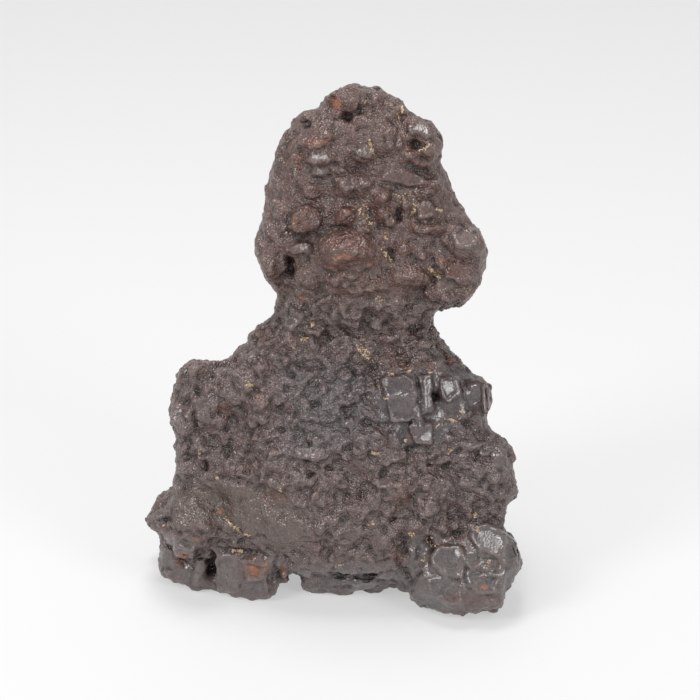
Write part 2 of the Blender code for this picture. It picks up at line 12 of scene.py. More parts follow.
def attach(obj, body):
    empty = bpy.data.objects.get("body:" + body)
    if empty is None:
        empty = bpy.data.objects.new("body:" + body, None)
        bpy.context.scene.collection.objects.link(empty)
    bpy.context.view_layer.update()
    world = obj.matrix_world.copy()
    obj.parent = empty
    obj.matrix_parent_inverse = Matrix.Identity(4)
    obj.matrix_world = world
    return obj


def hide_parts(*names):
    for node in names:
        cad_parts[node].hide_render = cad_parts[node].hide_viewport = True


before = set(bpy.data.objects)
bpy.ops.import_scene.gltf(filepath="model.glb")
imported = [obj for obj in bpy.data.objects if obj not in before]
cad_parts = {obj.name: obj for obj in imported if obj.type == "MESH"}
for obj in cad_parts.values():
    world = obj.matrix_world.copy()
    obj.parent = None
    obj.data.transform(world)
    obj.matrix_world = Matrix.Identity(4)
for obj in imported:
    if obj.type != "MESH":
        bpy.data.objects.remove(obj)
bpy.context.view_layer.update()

bl_info = {
    "name": "Prophecy Stone",
    "version": (1, 0, 0),
    "blender": (4, 5, 0),
    "location": "3D View > Sidebar > Prophecy Stone",
    "description": "A free-standing brown ironstone concretion with sand in its crevices",
    "category": "Object",
}

# The picture's frame, in millimetres. u runs right and v runs up in the picture, through AIM.
MM = 0.001
VIEW_SHIFT = Vector((2.9, -1.4, 0.0))
AIM = Vector((0.0, 0.0, 45.0)) + VIEW_SHIFT
EYE_DISTANCE = 450.0
EYE_TILT = math.radians(20.0)
VIEW_WIDTH = 126.0
SENSOR = 36.0
RIGHT = Vector((1.0, 0.0, 0.0))
UP = Vector((0.0, math.sin(EYE_TILT), math.cos(EYE_TILT)))
TOWARDS_EYE = Vector((0.0, -math.cos(EYE_TILT), math.sin(EYE_TILT)))
EYE = AIM + TOWARDS_EYE * EYE_DISTANCE

# Lumps grown on the skin: u, v, half width, half height, how far it stands out, roll in degrees, facets.
HEAD_LUMPS = [
    (-0.4, 45.2, 4.2, 2.2, 2.2, 0, 3), (4.6, 44.6, 1.8, 2.4, 1.4, 20, 3), (8.2, 43.4, 2.6, 1.9, 1.5, -25, 3),
    (12.6, 39.8, 3.2, 2.0, 1.8, -30, 4), (14.3, 36.6, 2.4, 2.2, 1.6, 0, 4), (-6.6, 41.6, 2.8, 1.5, 1.2, 15, 3),
    (-10.6, 38.0, 1.7, 2.2, 1.0, 30, 3), (-3.5, 38.9, 3.0, 1.8, 1.1, 10, 3), (2.4, 40.9, 2.4, 1.5, 1.0, -10, 3),
    (6.6, 39.8, 2.4, 1.7, 1.0, -40, 3), (7.2, 36.5, 2.6, 1.6, 1.2, 10, 3), (11.0, 35.1, 2.2, 1.6, 0.9, 30, 3),
    (-6.7, 37.2, 2.8, 1.5, 1.0, 5, 2), (-5.5, 34.5, 2.6, 1.4, 1.2, -8, 5), (-5.4, 32.1, 2.0, 1.1, 1.1, 0, 5),
    (-1.6, 32.3, 1.6, 1.1, 0.9, 0, 4), (2.6, 35.6, 2.6, 1.9, 1.0, 50, 4), (-12.6, 34.6, 1.6, 2.6, 1.0, 12, 2),
    (-9.7, 33.2, 1.0, 2.6, 0.9, 8, 2), (-12.6, 30.0, 2.2, 2.0, 1.3, 0, 3), (-6.6, 29.6, 2.4, 2.2, 1.0, 0, 2),
    (-1.2, 29.3, 2.4, 1.9, 1.6, 20, 5), (2.6, 29.9, 1.4, 1.6, 1.3, 0, 4), (5.8, 27.4, 2.5, 1.7, 1.8, -15, 3),
    (6.6, 24.3, 2.6, 2.5, 1.8, 0, 3), (9.8, 26.3, 1.0, 1.8, 1.0, 0, 3), (-0.8, 24.1, 2.0, 1.9, 2.0, 0, 1),
    (-7.7, 23.5, 2.9, 2.8, 2.2, 0, 2), (-12.6, 25.0, 2.0, 2.4, 0.9, 0, 3), (-14.2, 21.5, 2.0, 2.2, 0.9, 0, 3),
    (-9.0, 18.4, 2.8, 1.4, 1.6, 15, 5), (-0.3, 18.2, 5.0, 3.6, 2.4, -12, 2), (-14.8, 16.6, 2.0, 4.6, 1.6, 8, 3),
    (-7.8, 13.6, 2.2, 3.2, 1.2, 10, 2), (19.8, 19.6, 4.4, 3.0, 2.2, -18, 6), (20.2, 14.8, 3.8, 3.0, 1.8, -10, 5),
    (21.6, 10.6, 2.6, 2.0, 1.2, 20, 4), (13.6, 25.0, 2.0, 2.2, 1.5, 0, 6), (13.6, 22.0, 3.6, 1.3, 1.2, -6, 1),
    (18.8, 23.6, 2.2, 1.0, 1.0, -30, 1), (10.4, 30.9, 4.6, 1.6, 1.2, -8, 4), (15.4, 30.2, 2.0, 1.6, 1.4, 0, 4),
    (17.2, 27.6, 1.8, 1.6, 1.2, 0, 3), (17.6, 31.2, 1.2, 1.4, 0.9, 0, 3), (9.6, 18.4, 2.2, 1.9, 1.2, 0, 3),
    (10.4, 13.4, 4.4, 2.4, 1.6, -10, 2), (3.0, 11.4, 4.0, 2.0, 1.2, 0, 2), (-2.4, 12.6, 3.0, 1.6, 1.0, -10, 2),
    (16.4, 10.2, 3.0, 2.0, 1.1, -20, 3), (12.6, 17.4, 1.6, 2.0, 0.9, 0, 3), (-4.6, 20.6, 1.6, 1.0, 0.8, 30, 3),
    (3.0, 21.8, 1.8, 1.2, 0.9, 0, 2), (-11.8, 21.8, 1.4, 1.0, 0.9, 0, 3), (3.4, 32.6, 2.2, 0.9, 0.7, 0, 3),
]
BODY_LUMPS = [
    (-8.8, 6.6, 1.2, 2.6, 1.1, -52, 3), (-10.4, 4.8, 1.6, 1.5, 1.1, 30, 5), (-4.6, 5.8, 2.0, 1.8, 1.0, 0, 4),
    (-7.2, 3.4, 2.6, 0.9, 1.0, 0, 3), (0.4, 5.8, 2.4, 1.8, 1.0, 20, 3), (5.0, 5.0, 2.4, 1.7, 1.0, -15, 4),
    (9.6, 5.6, 2.4, 1.8, 1.0, 0, 3), (13.0, 3.6, 1.8, 1.2, 1.0, 25, 4), (-15.9, 3.0, 1.9, 1.9, 1.3, 0, 3),
    (-19.6, -1.2, 1.6, 1.4, 1.2, 0, 3), (-27.3, -4.4, 1.2, 1.6, 1.2, 0, 4), (-24.2, -4.8, 1.6, 1.6, 1.0, 0, 3),
    (-30.0, -5.2, 1.2, 2.4, 0.8, 0, 3), (-30.8, -11.8, 1.2, 2.2, 1.0, 0, 5),
    (-29.6, -16.6, 1.4, 2.6, 1.0, 0, 3), (-16.0, -2.8, 1.6, 2.0, 1.1, 0, 2), (-21.6, -8.6, 2.6, 2.2, 1.0, 10, 3),
    (-22.4, -15.6, 2.4, 2.2, 0.9, 0, 4), (-16.4, -11.8, 2.6, 2.6, 0.9, 0, 3), (-10.6, -2.6, 2.0, 2.2, 0.9, 0, 3),
    (-6.0, -7.4, 2.4, 2.6, 1.0, 0, 4), (-0.6, -4.6, 2.6, 2.2, 0.9, 0, 4), (-0.6, -12.8, 2.2, 1.6, 1.1, 0, 5),
    (-8.4, -13.0, 2.6, 2.0, 1.0, 10, 4), (-12.6, -18.6, 2.6, 2.2, 0.8, 0, 3), (-6.6, -18.4, 3.4, 1.6, 0.9, 0, 2),
    (-1.0, -18.4, 2.2, 1.6, 0.8, 0, 3), (4.6, -16.0, 2.4, 2.0, 1.0, 0, 4), (-5.6, -27.0, 1.7, 1.6, 1.1, 0, 1),
    (5.8, -24.0, 1.8, 1.2, 1.0, -10, 5), (0.4, -28.6, 2.6, 1.8, 0.8, 0, 2), (-12.0, -30.6, 3.0, 2.4, 0.6, 0, 2),
    (-18.6, -22.6, 2.8, 1.8, 0.7, 0, 3), (12.4, 0.8, 2.0, 1.6, 1.0, 0, 4), (15.6, 1.6, 0.9, 1.6, 0.9, 0, 5),
    (8.6, -1.4, 2.6, 2.0, 0.8, 0, 3), (18.2, -2.2, 1.0, 1.2, 0.9, 0, 3), 
    
    (20.6, -11.8, 1.8, 1.2, 0.9, 0, 4), 
    (7.4, -15.2, 1.2, 1.8, 0.7, 0, 5), (21.4, -16.4, 2.2, 1.2, 1.0, -8, 5), (17.4, -15.6, 1.8, 1.2, 0.8, 0, 4),
    (26.0, -18.4, 2.4, 1.6, 1.0, -30, 4), (21.0, -20.6, 2.4, 1.8, 1.0, 0, 2), (25.6, -22.8, 2.0, 2.0, 1.0, 0, 2),
    (14.0, -24.0, 3.0, 2.0, 0.7, 0, 2), (22.0, -26.4, 2.4, 2.0, 0.8, 0, 3), (13.6, -28.4, 3.0, 1.8, 0.7, 0, 2),
    (18.6, -31.4, 2.0, 1.4, 0.8, 0, 3), (-33.6, -29.8, 2.0, 1.8, 1.0, 0, 5), (-27.6, -27.8, 2.0, 2.2, 0.7, 0, 3),
    (-30.6, -25.0, 1.6, 1.8, 0.7, 0, 3), (-19.0, -33.1, 0.8, 0.45, 0.6, -10, 2), (1.8, -37.2, 1.2, 1.0, 0.8, 0, 1),
    (-2.0, -36.2, 2.0, 1.5, 0.8, 0, 1), (7.2, -33.4, 2.2, 1.6, 0.8, 0, 2), (11.2, -36.0, 0.9, 2.6, 1.0, 0, 3),
]

# Square blocks grown into the skin: corners u, v of the front face, how far it stands out and goes back.
BLOCKS = [
    ([(5.6, -5.1), (11.4, -4.8), (13.0, -12.6), (7.4, -12.7)], 1.3, 4.0),
    ([(12.3, -4.4), (14.7, -4.2), (15.0, -11.4), (13.2, -11.6)], 1.0, 4.0),
    ([(20.8, -5.2), (24.6, -5.8), (25.2, -11.2), (22.2, -11.8)], 1.2, 5.0),
    ([(16.2, -5.0), (19.4, -4.9), (20.2, -8.2), (17.6, -9.8), (16.2, -8.4)], 1.3, 4.0),
    ([(10.6, -13.4), (14.9, -13.0), (14.8, -17.1), (11.6, -16.6)], 1.2, 4.0),
    ([(-27.9, -8.8), (-25.0, -8.6), (-24.9, -12.6), (-27.6, -12.6)], 1.0, 3.0),
    ([(-24.4, -37.4), (-20.2, -36.6), (-19.6, -43.6), (-23.6, -43.6)], 0.8, 4.0),
    ([(-19.6, -37.6), (-15.4, -38.2), (-14.4, -44.4), (-19.4, -44.0)], 0.8, 4.0),
    ([(23.2, -16.9), (25.0, -17.0), (25.2, -18.8), (23.6, -19.2)], 0.7, 2.5),
    ([(25.6, -18.2), (28.2, -18.8), (28.0, -22.6), (26.0, -22.2)], 0.7, 2.5),
]

# Clean faces with a low rim: corners u, v, lean up, lean right, lift, height of the rim.
FACETS = [
    ([(21.4, -33.4), (24.1, -31.7), (26.8, -32.8), (27.5, -34.9), (26.8, -37.3), (23.5, -35.6)], 0.35, 0.0, 0.3, 0.3),
    ([(14.6, -37.3), (16.3, -35.8), (19.6, -35.5), (20.4, -36.7), (20.3, -41.2), (17.5, -40.3), (15.1, -38.5)], 0.2, -0.1, 0.3, 0.3),
    ([(21.1, -36.7), (22.0, -36.4), (22.9, -37.9), (24.1, -37.9), (22.6, -39.4), (21.2, -38.8)], 0.3, 0.1, 0.2, 0.25),
    ([(27.8, -33.2), (29.8, -33.8), (30.9, -36.7), (28.3, -38.1), (27.4, -37.3)], -0.3, 0.5, 0.1, 0.25),
    ([(21.1, -40.0), (23.5, -39.7), (26.2, -40.9), (25.9, -43.3), (23.5, -43.6), (21.4, -42.1)], 0.35, 0.1, 0.2, 0.3),
    ([(24.7, -39.0), (26.6, -39.3), (26.3, -40.7), (24.8, -40.0)], 0.3, 0.2, 0.1, 0.2),
    ([(14.5, -41.3), (17.5, -41.0), (19.8, -43.0), (20.1, -45.3), (18.1, -45.7), (14.8, -44.2)], 0.1, -0.15, 0.2, 0.2),
    ([(10.9, -43.9), (14.5, -44.3), (17.5, -46.2), (15.1, -46.8), (12.1, -45.7)], -0.5, -0.1, 0.0, 0.1),
    ([(28.0, -39.8), (30.6, -38.8), (28.6, -42.6), (27.0, -45.6)], -0.1, 0.5, 0.1, 0.25),
    ([(24.2, -44.3), (26.4, -44.0), (26.3, -45.6), (24.5, -45.4)], 0.4, 0.1, 0.1, 0.2),
    ([(6.2, -5.5), (11.0, -5.3), (11.9, -8.0), (6.9, -8.5)], 0.15, -0.1, 0.3, 0.25),
    ([(7.0, -9.0), (11.9, -8.4), (12.8, -12.3), (7.8, -12.4)], -0.15, -0.1, 0.1, 0.15),
    ([(13.3, -4.9), (14.4, -4.8), (14.8, -10.8), (13.6, -11.0)], 0.05, 0.3, 0.1, 0.15),
    ([(21.3, -6.2), (23.6, -6.4), (24.1, -9.4), (22.0, -10.0)], -0.2, 0.2, 0.1, 0.25),
    ([(24.2, -6.4), (25.2, -7.0), (25.2, -10.8), (24.4, -11.0)], 0.3, 0.6, 0.1, 0.15),
    ([(16.8, -5.6), (18.8, -5.5), (19.4, -7.6), (17.6, -8.9), (16.8, -7.8)], -0.1, 0.1, 0.2, 0.3),
    ([(11.8, -15.2), (14.4, -13.6), (14.5, -16.8), (12.0, -16.3)], 0.1, 0.1, 0.2, 0.25),
    ([(23.5, -17.3), (24.8, -17.4), (24.9, -18.6), (23.8, -18.8)], 0.6, 0.1, 0.2, 0.2),
    ([(26.0, -18.8), (27.8, -19.2), (27.6, -22.2), (26.2, -21.6)], -0.3, 0.2, 0.1, 0.3),
    ([(-27.4, -9.2), (-25.3, -9.0), (-25.2, -12.2), (-27.2, -12.2)], 0.3, 0.0, 0.2, 0.15),
    ([(-24.0, -38.0), (-20.6, -37.3), (-20.1, -43.0), (-23.4, -43.2)], 0.0, -0.3, 0.1, 0.2),
    ([(-18.9, -38.1), (-15.8, -38.8), (-16.2, -41.0), (-18.3, -41.4)], 0.2, 0.15, 0.1, 0.3),
    ([(-19.4, -41.9), (-15.6, -41.6), (-14.8, -44.4), (-18.9, -43.9)], 0.0, 0.1, 0.1, 0.15),
    ([(-33.6, -34.2), (-31.8, -34.0), (-32.0, -39.6), (-33.8, -39.6)], 0.0, -0.3, 0.0, 0.1),
    ([(-27.8, -35.6), (-25.8, -35.6), (-25.8, -42.6), (-28.0, -42.0)], 0.1, 0.3, 0.1, 0.15),
    ([(-31.6, -39.6), (-28.4, -39.6), (-28.2, -42.2), (-31.0, -41.2)], -0.1, -0.1, 0.1, 0.1),
    ([(18.4, 21.0), (20.4, 22.2), (22.9, 21.6), (23.0, 19.6), (20.8, 18.3), (18.9, 18.9)], 0.5, -0.05, 0.3, 0.2),
    ([(12.3, 23.9), (13.5, 26.8), (15.2, 24.2)], 0.5, 0.0, 0.3, 0.1),
    ([(-7.2, 35.4), (-4.6, 35.6), (-3.6, 34.5), (-5.8, 33.7), (-7.2, 34.0)], 0.55, 0.0, 0.25, 0.1),
    ([(1.0, 35.8), (2.9, 37.4), (4.0, 35.4), (2.8, 34.4)], 0.35, -0.1, 0.2, 0.1),
    ([(-9.8, 18.2), (-8.4, 19.2), (-6.2, 18.4), (-7.6, 17.3)], 0.6, 0.0, 0.3, 0.15),
    ([(-1.8, 29.8), (0.2, 31.0), (1.0, 29.6), (-0.6, 28.6)], 0.6, 0.1, 0.2, 0.1),
]

# Faces laid flat: u, v, half width, half height, roll, lean up, lean right, lift.
FLAT_FACES = [
    (18.5, 13.7, 1.7, 1.1, 20, 0.3, 0.1, 0.2),
    (17.3, 11.8, 1.5, 0.8, 15, 0.35, 0.0, 0.1), 
    (-5.3, 32.3, 1.3, 0.8, 0, 0.4, 0.2, 0.2),
    
    (-10.6, 19.2, 1.1, 0.7, 30, 0.6, 0.0, 0.2), 
    (2.8, 30.6, 0.9, 0.9, 0, 0.6, 0.1, 0.2), (10.0, 30.9, 3.0, 1.0, -8, 0.3, 0.0, 0.1),
    (-10.5, 5.0, 1.2, 1.0, 40, 0.6, 0.0, 0.2), 
    (-31.0, -11.7, 0.9, 1.7, 0, 0.3, -0.2, 0.1), (-0.3, -13.5, 0.9, 0.6, 0, 0.5, 0.2, 0.2),
    (-7.3, -11.9, 0.9, 0.7, 20, 0.5, -0.1, 0.2), (1.4, -12.1, 0.8, 0.6, 0, 0.5, 0.2, 0.2),
    (-8.0, -18.6, 1.6, 0.8, 5, 0.4, 0.0, 0.1), (-9.5, -22.4, 0.8, 0.6, 0, 0.5, 0.0, 0.2),
    (6.0, -24.0, 1.3, 0.9, 0, 0.4, 0.2, 0.2), 
    
    
    (14.4, -15.2, 0.3, 1.9, 0, 0.2, 0.6, 0.2),
    (21.5, -16.8, 1.8, 0.6, -8, 0.7, 0.0, 0.2), 
    (26.3, -18.8, 0.9, 0.7, -20, 0.6, 0.2, 0.2), 
    
    
    
    
    (-29.6, -35.2, 1.8, 0.7, -15, 0.6, 0.0, 0.2),
    (0.6, -41.4, 4.0, 1.2, 2, 0.3, 0.0, 0.1),
    (-34.6, -29.4, 0.9, 0.7, 0, 0.5, -0.2, 0.2), (-34.6, -30.9, 0.9, 0.6, 0, 0.2, -0.2, 0.1),
    (16.0, 38.0, 1.0, 1.4, 0, 0.2, 0.4, 0.1), (12.8, 39.6, 1.7, 0.9, -30, 0.5, 0.0, 0.2),
]

# Cracks and seams: width, depth, line.
CRACKS = [
    (0.7, 1.0, [(3.0, 46.6), (3.9, 44.6), (5.1, 42.5)]), (0.4, 0.7, [(5.5, 42.6), (7.0, 41.8), (8.2, 40.8)]),
    (0.8, 1.2, [(-3.6, 42.2), (-1.6, 41.7), (0.6, 42.2)]), (0.8, 1.0, [(-3.0, 33.6), (0.6, 32.6), (4.0, 32.5)]),
    (0.8, 1.0, [(8.6, 33.6), (11.0, 32.8), (13.4, 32.2), (15.4, 32.6)]),
    (0.5, 0.8, [(9.6, 36.8), (11.6, 37.2), (13.4, 36.6), (14.6, 35.8)]), (0.5, 0.7, [(13.5, 39.2), (11.0, 38.0)]),
    (0.5, 0.6, [(3.6, 38.2), (4.0, 36.8), (4.3, 35.2)]), (0.35, 0.5, [(-9.2, 30.8), (-8.6, 33.0), (-8.7, 35.2)]),
    (0.3, 0.4, [(-10.6, 31.2), (-10.3, 33.8)]), (0.7, 1.0, [(9.1, 26.0), (8.9, 24.0), (8.6, 22.6)]),
    (1.0, 1.7, [(-11.6, 17.4), (-10.8, 15.6), (-11.2, 13.2), (-12.4, 12.4)]),
    (0.6, 0.8, [(-10.8, 24.6), (-11.2, 22.2), (-10.4, 20.6), (-8.0, 20.3), (-5.4, 21.6)]),
    (0.6, 0.8, [(-5.8, 20.4), (-3.2, 22.0), (0.4, 21.9), (3.0, 20.6)]), (0.6, 0.8, [(7.2, 19.2), (7.6, 17.2), (7.4, 15.6)]),
    (0.5, 0.8, [(-5.4, 14.6), (-2.4, 13.6), (2.4, 13.8), (5.6, 15.2)]), (0.5, 0.8, [(-5.0, 9.9), (-3.0, 9.8), (-1.0, 9.2)]),
    (0.6, 0.9, [(15.6, 20.4), (15.0, 18.0), (14.8, 15.6), (15.4, 13.0)]), (0.5, 0.7, [(3.6, 26.0), (3.4, 24.0), (3.6, 22.4)]),
    (0.5, 0.6, [(16.2, 25.2), (15.2, 26.4), (14.4, 28.2)]), (0.5, 0.6, [(11.4, 26.0), (11.0, 24.4), (10.4, 23.4)]),
    (0.7, 1.0, [(-9.4, 2.4), (-7.6, 2.2), (-5.8, 2.3)]), (0.5, 0.8, [(-4.4, 2.2), (-4.0, 0.2), (-3.4, -2.0)]),
    (0.4, 0.6, [(-28.6, -7.7), (-26.0, -7.2)]), (0.4, 0.6, [(-24.8, -8.6), (-24.6, -11.0), (-25.0, -13.6)]),
    (0.7, 1.0, [(-25.6, -19.8), (-26.4, -21.6), (-27.2, -23.0)]), (0.4, 0.6, [(-24.6, -23.4), (-21.4, -23.2)]),
    (0.3, 0.5, [(-25.0, -28.6), (-24.0, -29.3)]), (0.5, 0.6, [(-18.8, -6.0), (-17.2, -7.0), (-15.6, -7.4)]),
    (0.5, 0.7, [(-23.0, -30.0), (-21.0, -31.7), (-19.4, -33.0), (-17.6, -33.7), (-14.6, -34.0)]),
    (0.6, 0.8, [(-7.5, -20.9), (-3.6, -21.2), (1.0, -21.5)]), (0.5, 0.6, [(-3.0, -22.4), (0.0, -22.9), (2.2, -23.6)]),
    (0.8, 1.0, [(-32.6, -32.1), (-30.6, -33.0), (-28.5, -33.6), (-26.8, -34.4)]), (0.9, 1.6, [(-25.2, -36.0), (-25.0, -38.2), (-24.6, -41.8)]),
    (0.8, 1.3, [(-24.4, -35.6), (-20.6, -35.9), (-16.8, -36.6), (-13.6, -37.4)]), (0.8, 1.3, [(-13.2, -37.0), (-13.8, -39.6), (-13.6, -42.6)]),
    (0.5, 0.7, [(12.4, -5.4), (12.4, -8.4), (12.2, -11.4)]), (0.7, 1.2, [(15.4, -7.4), (15.6, -9.8)]),
    (0.6, 0.9, [(2.0, -12.9), (6.0, -13.3), (9.4, -13.0), (12.0, -12.7)]), (0.6, 0.9, [(7.5, -12.9), (7.6, -14.6)]),
    (0.6, 0.9, [(16.6, -13.2), (18.6, -12.8), (20.6, -13.4), (22.8, -13.4)]), (0.6, 0.8, [(9.6, -14.0), (9.7, -16.8), (10.6, -17.8), (14.6, -17.6)]),
    (0.8, 1.0, [(15.4, -20.2), (17.4, -20.9), (19.6, -21.4)]), (0.5, 0.7, [(20.8, -8.2), (20.9, -10.2), (22.2, -11.4)]),
    (0.4, 0.5, [(22.6, -29.4), (22.6, -31.0), (23.0, -32.6)]), (0.4, 0.6, [(16.9, -17.4), (18.4, -18.4), (20.0, -18.6)]),
    (0.5, 0.7, [(20.6, -36.6), (20.8, -38.8), (20.6, -41.2), (21.6, -43.4)]), (0.4, 0.6, [(22.0, -36.2), (24.4, -37.6), (26.6, -38.0)]),
    (0.4, 0.6, [(23.2, -39.8), (25.6, -39.9), (27.6, -40.4)]), (0.7, 1.0, [(-9.0, -39.4), (-5.0, -40.6), (0.0, -40.9), (5.0, -40.6), (9.0, -39.8)]),
    (0.4, 0.5, [(-5.4, -42.7), (-1.0, -42.8), (4.0, -42.5)]), (0.6, 0.9, [(9.6, -33.0), (9.8, -36.0), (9.4, -39.0)]),
]

# Thin raised seams and folds: width, height, line.
SEAMS = [
    (0.5, 0.5, [(-9.0, 29.4), (-8.2, 31.6), (-6.4, 32.2), (-4.6, 31.2), (-4.2, 29.2)]), (0.5, 0.5, [(-9.6, 28.6), (-7.2, 27.6), (-4.4, 28.2)]),
    (0.45, 0.4, [(16.6, 22.6), (18.2, 24.0), (20.2, 23.8), (21.2, 22.4)]), (0.4, 0.3, [(17.4, 22.2), (18.6, 23.0), (20.0, 22.6)]),
    (0.4, 0.3, [(8.0, 18.5), (10.0, 18.3), (12.0, 18.5)]), (0.6, 0.6, [(-7.6, 6.6), (-6.4, 8.2), (-4.6, 9.4)]),
    (0.5, 0.5, [(-10.8, 7.0), (-10.0, 7.9), (-9.0, 8.6)]), (0.5, 0.5, [(-9.2, 3.2), (-7.6, 3.3), (-6.0, 3.0)]),
    (0.5, 0.5, [(12.4, 4.4), (13.6, 4.0), (14.8, 3.2)]), (0.5, 0.5, [(-28.2, -8.6), (-26.4, -7.9), (-24.4, -6.4)]),
    (0.4, 0.4, [(-31.2, -9.8), (-30.0, -10.3)]), (0.5, 0.4, [(-29.8, -13.0), (-29.6, -15.6)]),
    (0.4, 0.4, [(-17.2, -1.2), (-16.4, -2.6), (-15.0, -3.2)]), (0.4, 0.4, [(-17.4, -2.8), (-16.2, -4.2), (-14.6, -4.6)]),
    (0.4, 0.5, [(7.4, -4.9), (10.2, -4.9), (10.9, -5.8)]), (0.3, 0.35, [(6.6, -8.7), (9.0, -8.4), (9.4, -7.5), (10.1, -7.2)]),
    (0.45, 0.5, [(17.0, -4.5), (18.6, -5.1), (19.6, -6.2), (19.8, -8.0)]), (0.4, 0.5, [(16.2, -3.6), (18.0, -4.6), (20.0, -6.0), (21.0, -8.0)]),
    (0.4, 0.4, [(16.2, -1.0), (16.4, -2.4)]), (0.5, 0.5, [(2.0, -12.4), (6.0, -12.7), (10.0, -12.4), (12.0, -12.1)]),
    (0.4, 0.4, [(11.8, -14.7), (12.5, -13.8), (13.4, -13.2)]), (0.4, 0.4, [(3.8, -26.0), (6.4, -25.8)]),
    (0.45, 0.5, [(28.8, -22.5), (28.2, -24.6), (27.0, -26.5), (26.0, -28.6), (25.2, -30.2)]),
    (0.4, 0.4, [(18.8, -19.2), (20.6, -18.6), (22.8, -19.4), (23.2, -21.2)]), (0.4, 0.4, [(23.8, -22.0), (24.8, -21.4), (26.2, -22.0), (26.6, -23.6), (25.6, -24.8)]),
    (0.4, 0.4, [(19.6, -24.4), (21.6, -23.8), (23.4, -24.6), (24.4, -26.6)]), (0.4, 0.35, [(17.8, -26.4), (20.0, -27.6), (22.4, -28.0), (24.0, -27.6)]),
    (0.5, 0.5, [(22.3, -32.3), (24.4, -31.6), (26.4, -32.7), (27.7, -34.1), (27.2, -36.6), (26.0, -37.7)]), (0.4, 0.4, [(22.3, -32.3), (22.6, -34.6), (23.7, -36.7), (26.0, -37.7)]),
    (0.5, 0.5, [(14.9, -37.3), (16.5, -35.8), (19.6, -35.5), (20.4, -37.0), (20.4, -40.0), (19.8, -42.0)]), (0.5, 0.5, [(14.9, -37.4), (15.6, -39.6), (17.4, -41.0), (19.8, -42.0), (20.2, -43.2)]),
    (0.5, 0.5, [(29.2, -39.0), (30.2, -38.6), (31.0, -38.0)]), (0.4, 0.4, [(27.3, -34.4), (28.8, -34.5), (30.1, -35.0)]),
    (0.4, 0.4, [(27.0, -37.2), (28.0, -38.3), (29.5, -38.7)]), (0.4, 0.4, [(22.2, -41.2), (24.4, -40.8), (26.2, -41.8), (25.8, -43.4), (23.2, -43.6)]),
    (0.4, 0.4, [(-21.4, -38.0), (-22.8, -41.0), (-23.2, -43.4)]), (0.4, 0.4, [(-19.0, -37.9), (-17.0, -38.2), (-15.3, -39.0), (-16.0, -41.0), (-18.4, -41.3)]),
    (0.6, 0.6, [(-31.8, -36.0), (-30.4, -35.5), (-28.9, -36.1)]), (0.5, 0.5, [(-5.2, -39.4), (0.0, -39.9), (4.0, -39.9), (7.2, -39.2)]),
    (0.4, 0.4, [(-3.6, -35.2), (-2.2, -34.4), (-0.4, -34.8), (0.6, -36.2)]), (0.4, 0.5, [(11.4, -33.8), (11.7, -35.8), (11.6, -38.2)]),
    (0.5, 0.4, [(-8.0, -28.4), (-7.0, -30.4), (-7.6, -32.4), (-6.4, -34.0)]), (0.5, 0.4, [(-5.6, -29.4), (-4.6, -31.4), (-5.2, -33.4)]),
    (0.5, 0.4, [(-2.6, -30.6), (-1.8, -32.4), (-2.8, -34.0)]), (0.5, 0.4, [(1.0, -31.4), (2.6, -32.6), (4.6, -32.8), (6.0, -34.0)]),
    (0.4, 0.4, [(2.0, -34.4), (4.0, -35.0), (5.0, -36.6)]), (0.5, 0.4, [(-16.6, -8.6), (-14.2, -8.2), (-12.2, -9.2)]),
]

# Hollows: u, v, half width, half height, roll, depth.
HOLLOWS = [
    (-0.8, 42.3, 1.4, 0.7, 0, 1.6), (1.2, 39.3, 0.6, 0.5, 0, 0.8), (2.3, 38.7, 0.5, 0.4, 0, 0.7), (-8.0, 40.8, 1.0, 0.8, 0, 1.3),
    (11.6, 37.1, 1.2, 0.5, 10, 0.8), (8.9, 24.0, 0.5, 1.0, 0, 1.0), (-11.0, 14.8, 0.9, 2.6, 10, 2.2), (7.5, 17.4, 0.5, 0.9, 0, 0.8),
    (-4.2, 2.7, 0.8, 0.9, 0, 1.4), (-5.5, 1.4, 0.8, 0.5, 20, 0.9), (11.5, 8.0, 0.6, 0.4, 0, 0.8), (-17.3, 1.8, 0.4, 0.8, 30, 0.9),
    (-6.9, -22.3, 0.8, 0.7, 0, 1.3), (6.0, -28.3, 1.2, 1.0, 0, 0.7), (15.5, -8.5, 0.55, 1.0, 5, 1.6), (-26.4, -21.4, 0.7, 1.7, 25, 1.4),
    (-26.8, -19.0, 0.6, 0.5, 0, 0.8), (-32.8, -30.4, 0.5, 0.4, 0, 0.8), (-30.0, -37.9, 1.2, 0.9, -20, 1.8), (24.6, -30.8, 0.5, 0.5, 0, 0.9),
    (26.7, -28.7, 0.5, 0.4, 0, 0.8), (17.4, -20.8, 2.1, 0.8, -10, 0.9), (14.3, -35.2, 1.1, 1.6, 0, 2.2), (10.5, -41.2, 0.8, 0.8, 0, 1.4),
    (12.5, -40.0, 0.7, 0.6, 0, 1.2), (3.3, -41.4, 0.6, 0.4, 0, 0.9), (-12.6, -41.0, 0.6, 1.2, 0, 1.2), (-25.0, -38.6, 0.8, 2.0, 0, 1.4),
    (16.4, -27.0, 0.5, 0.4, 0, 0.5), (-14.2, -15.2, 0.6, 0.5, 0, 0.6), (3.6, -20.2, 0.8, 0.4, 0, 0.7), (10.8, 2.0, 0.6, 0.4, 0, 0.6),
]

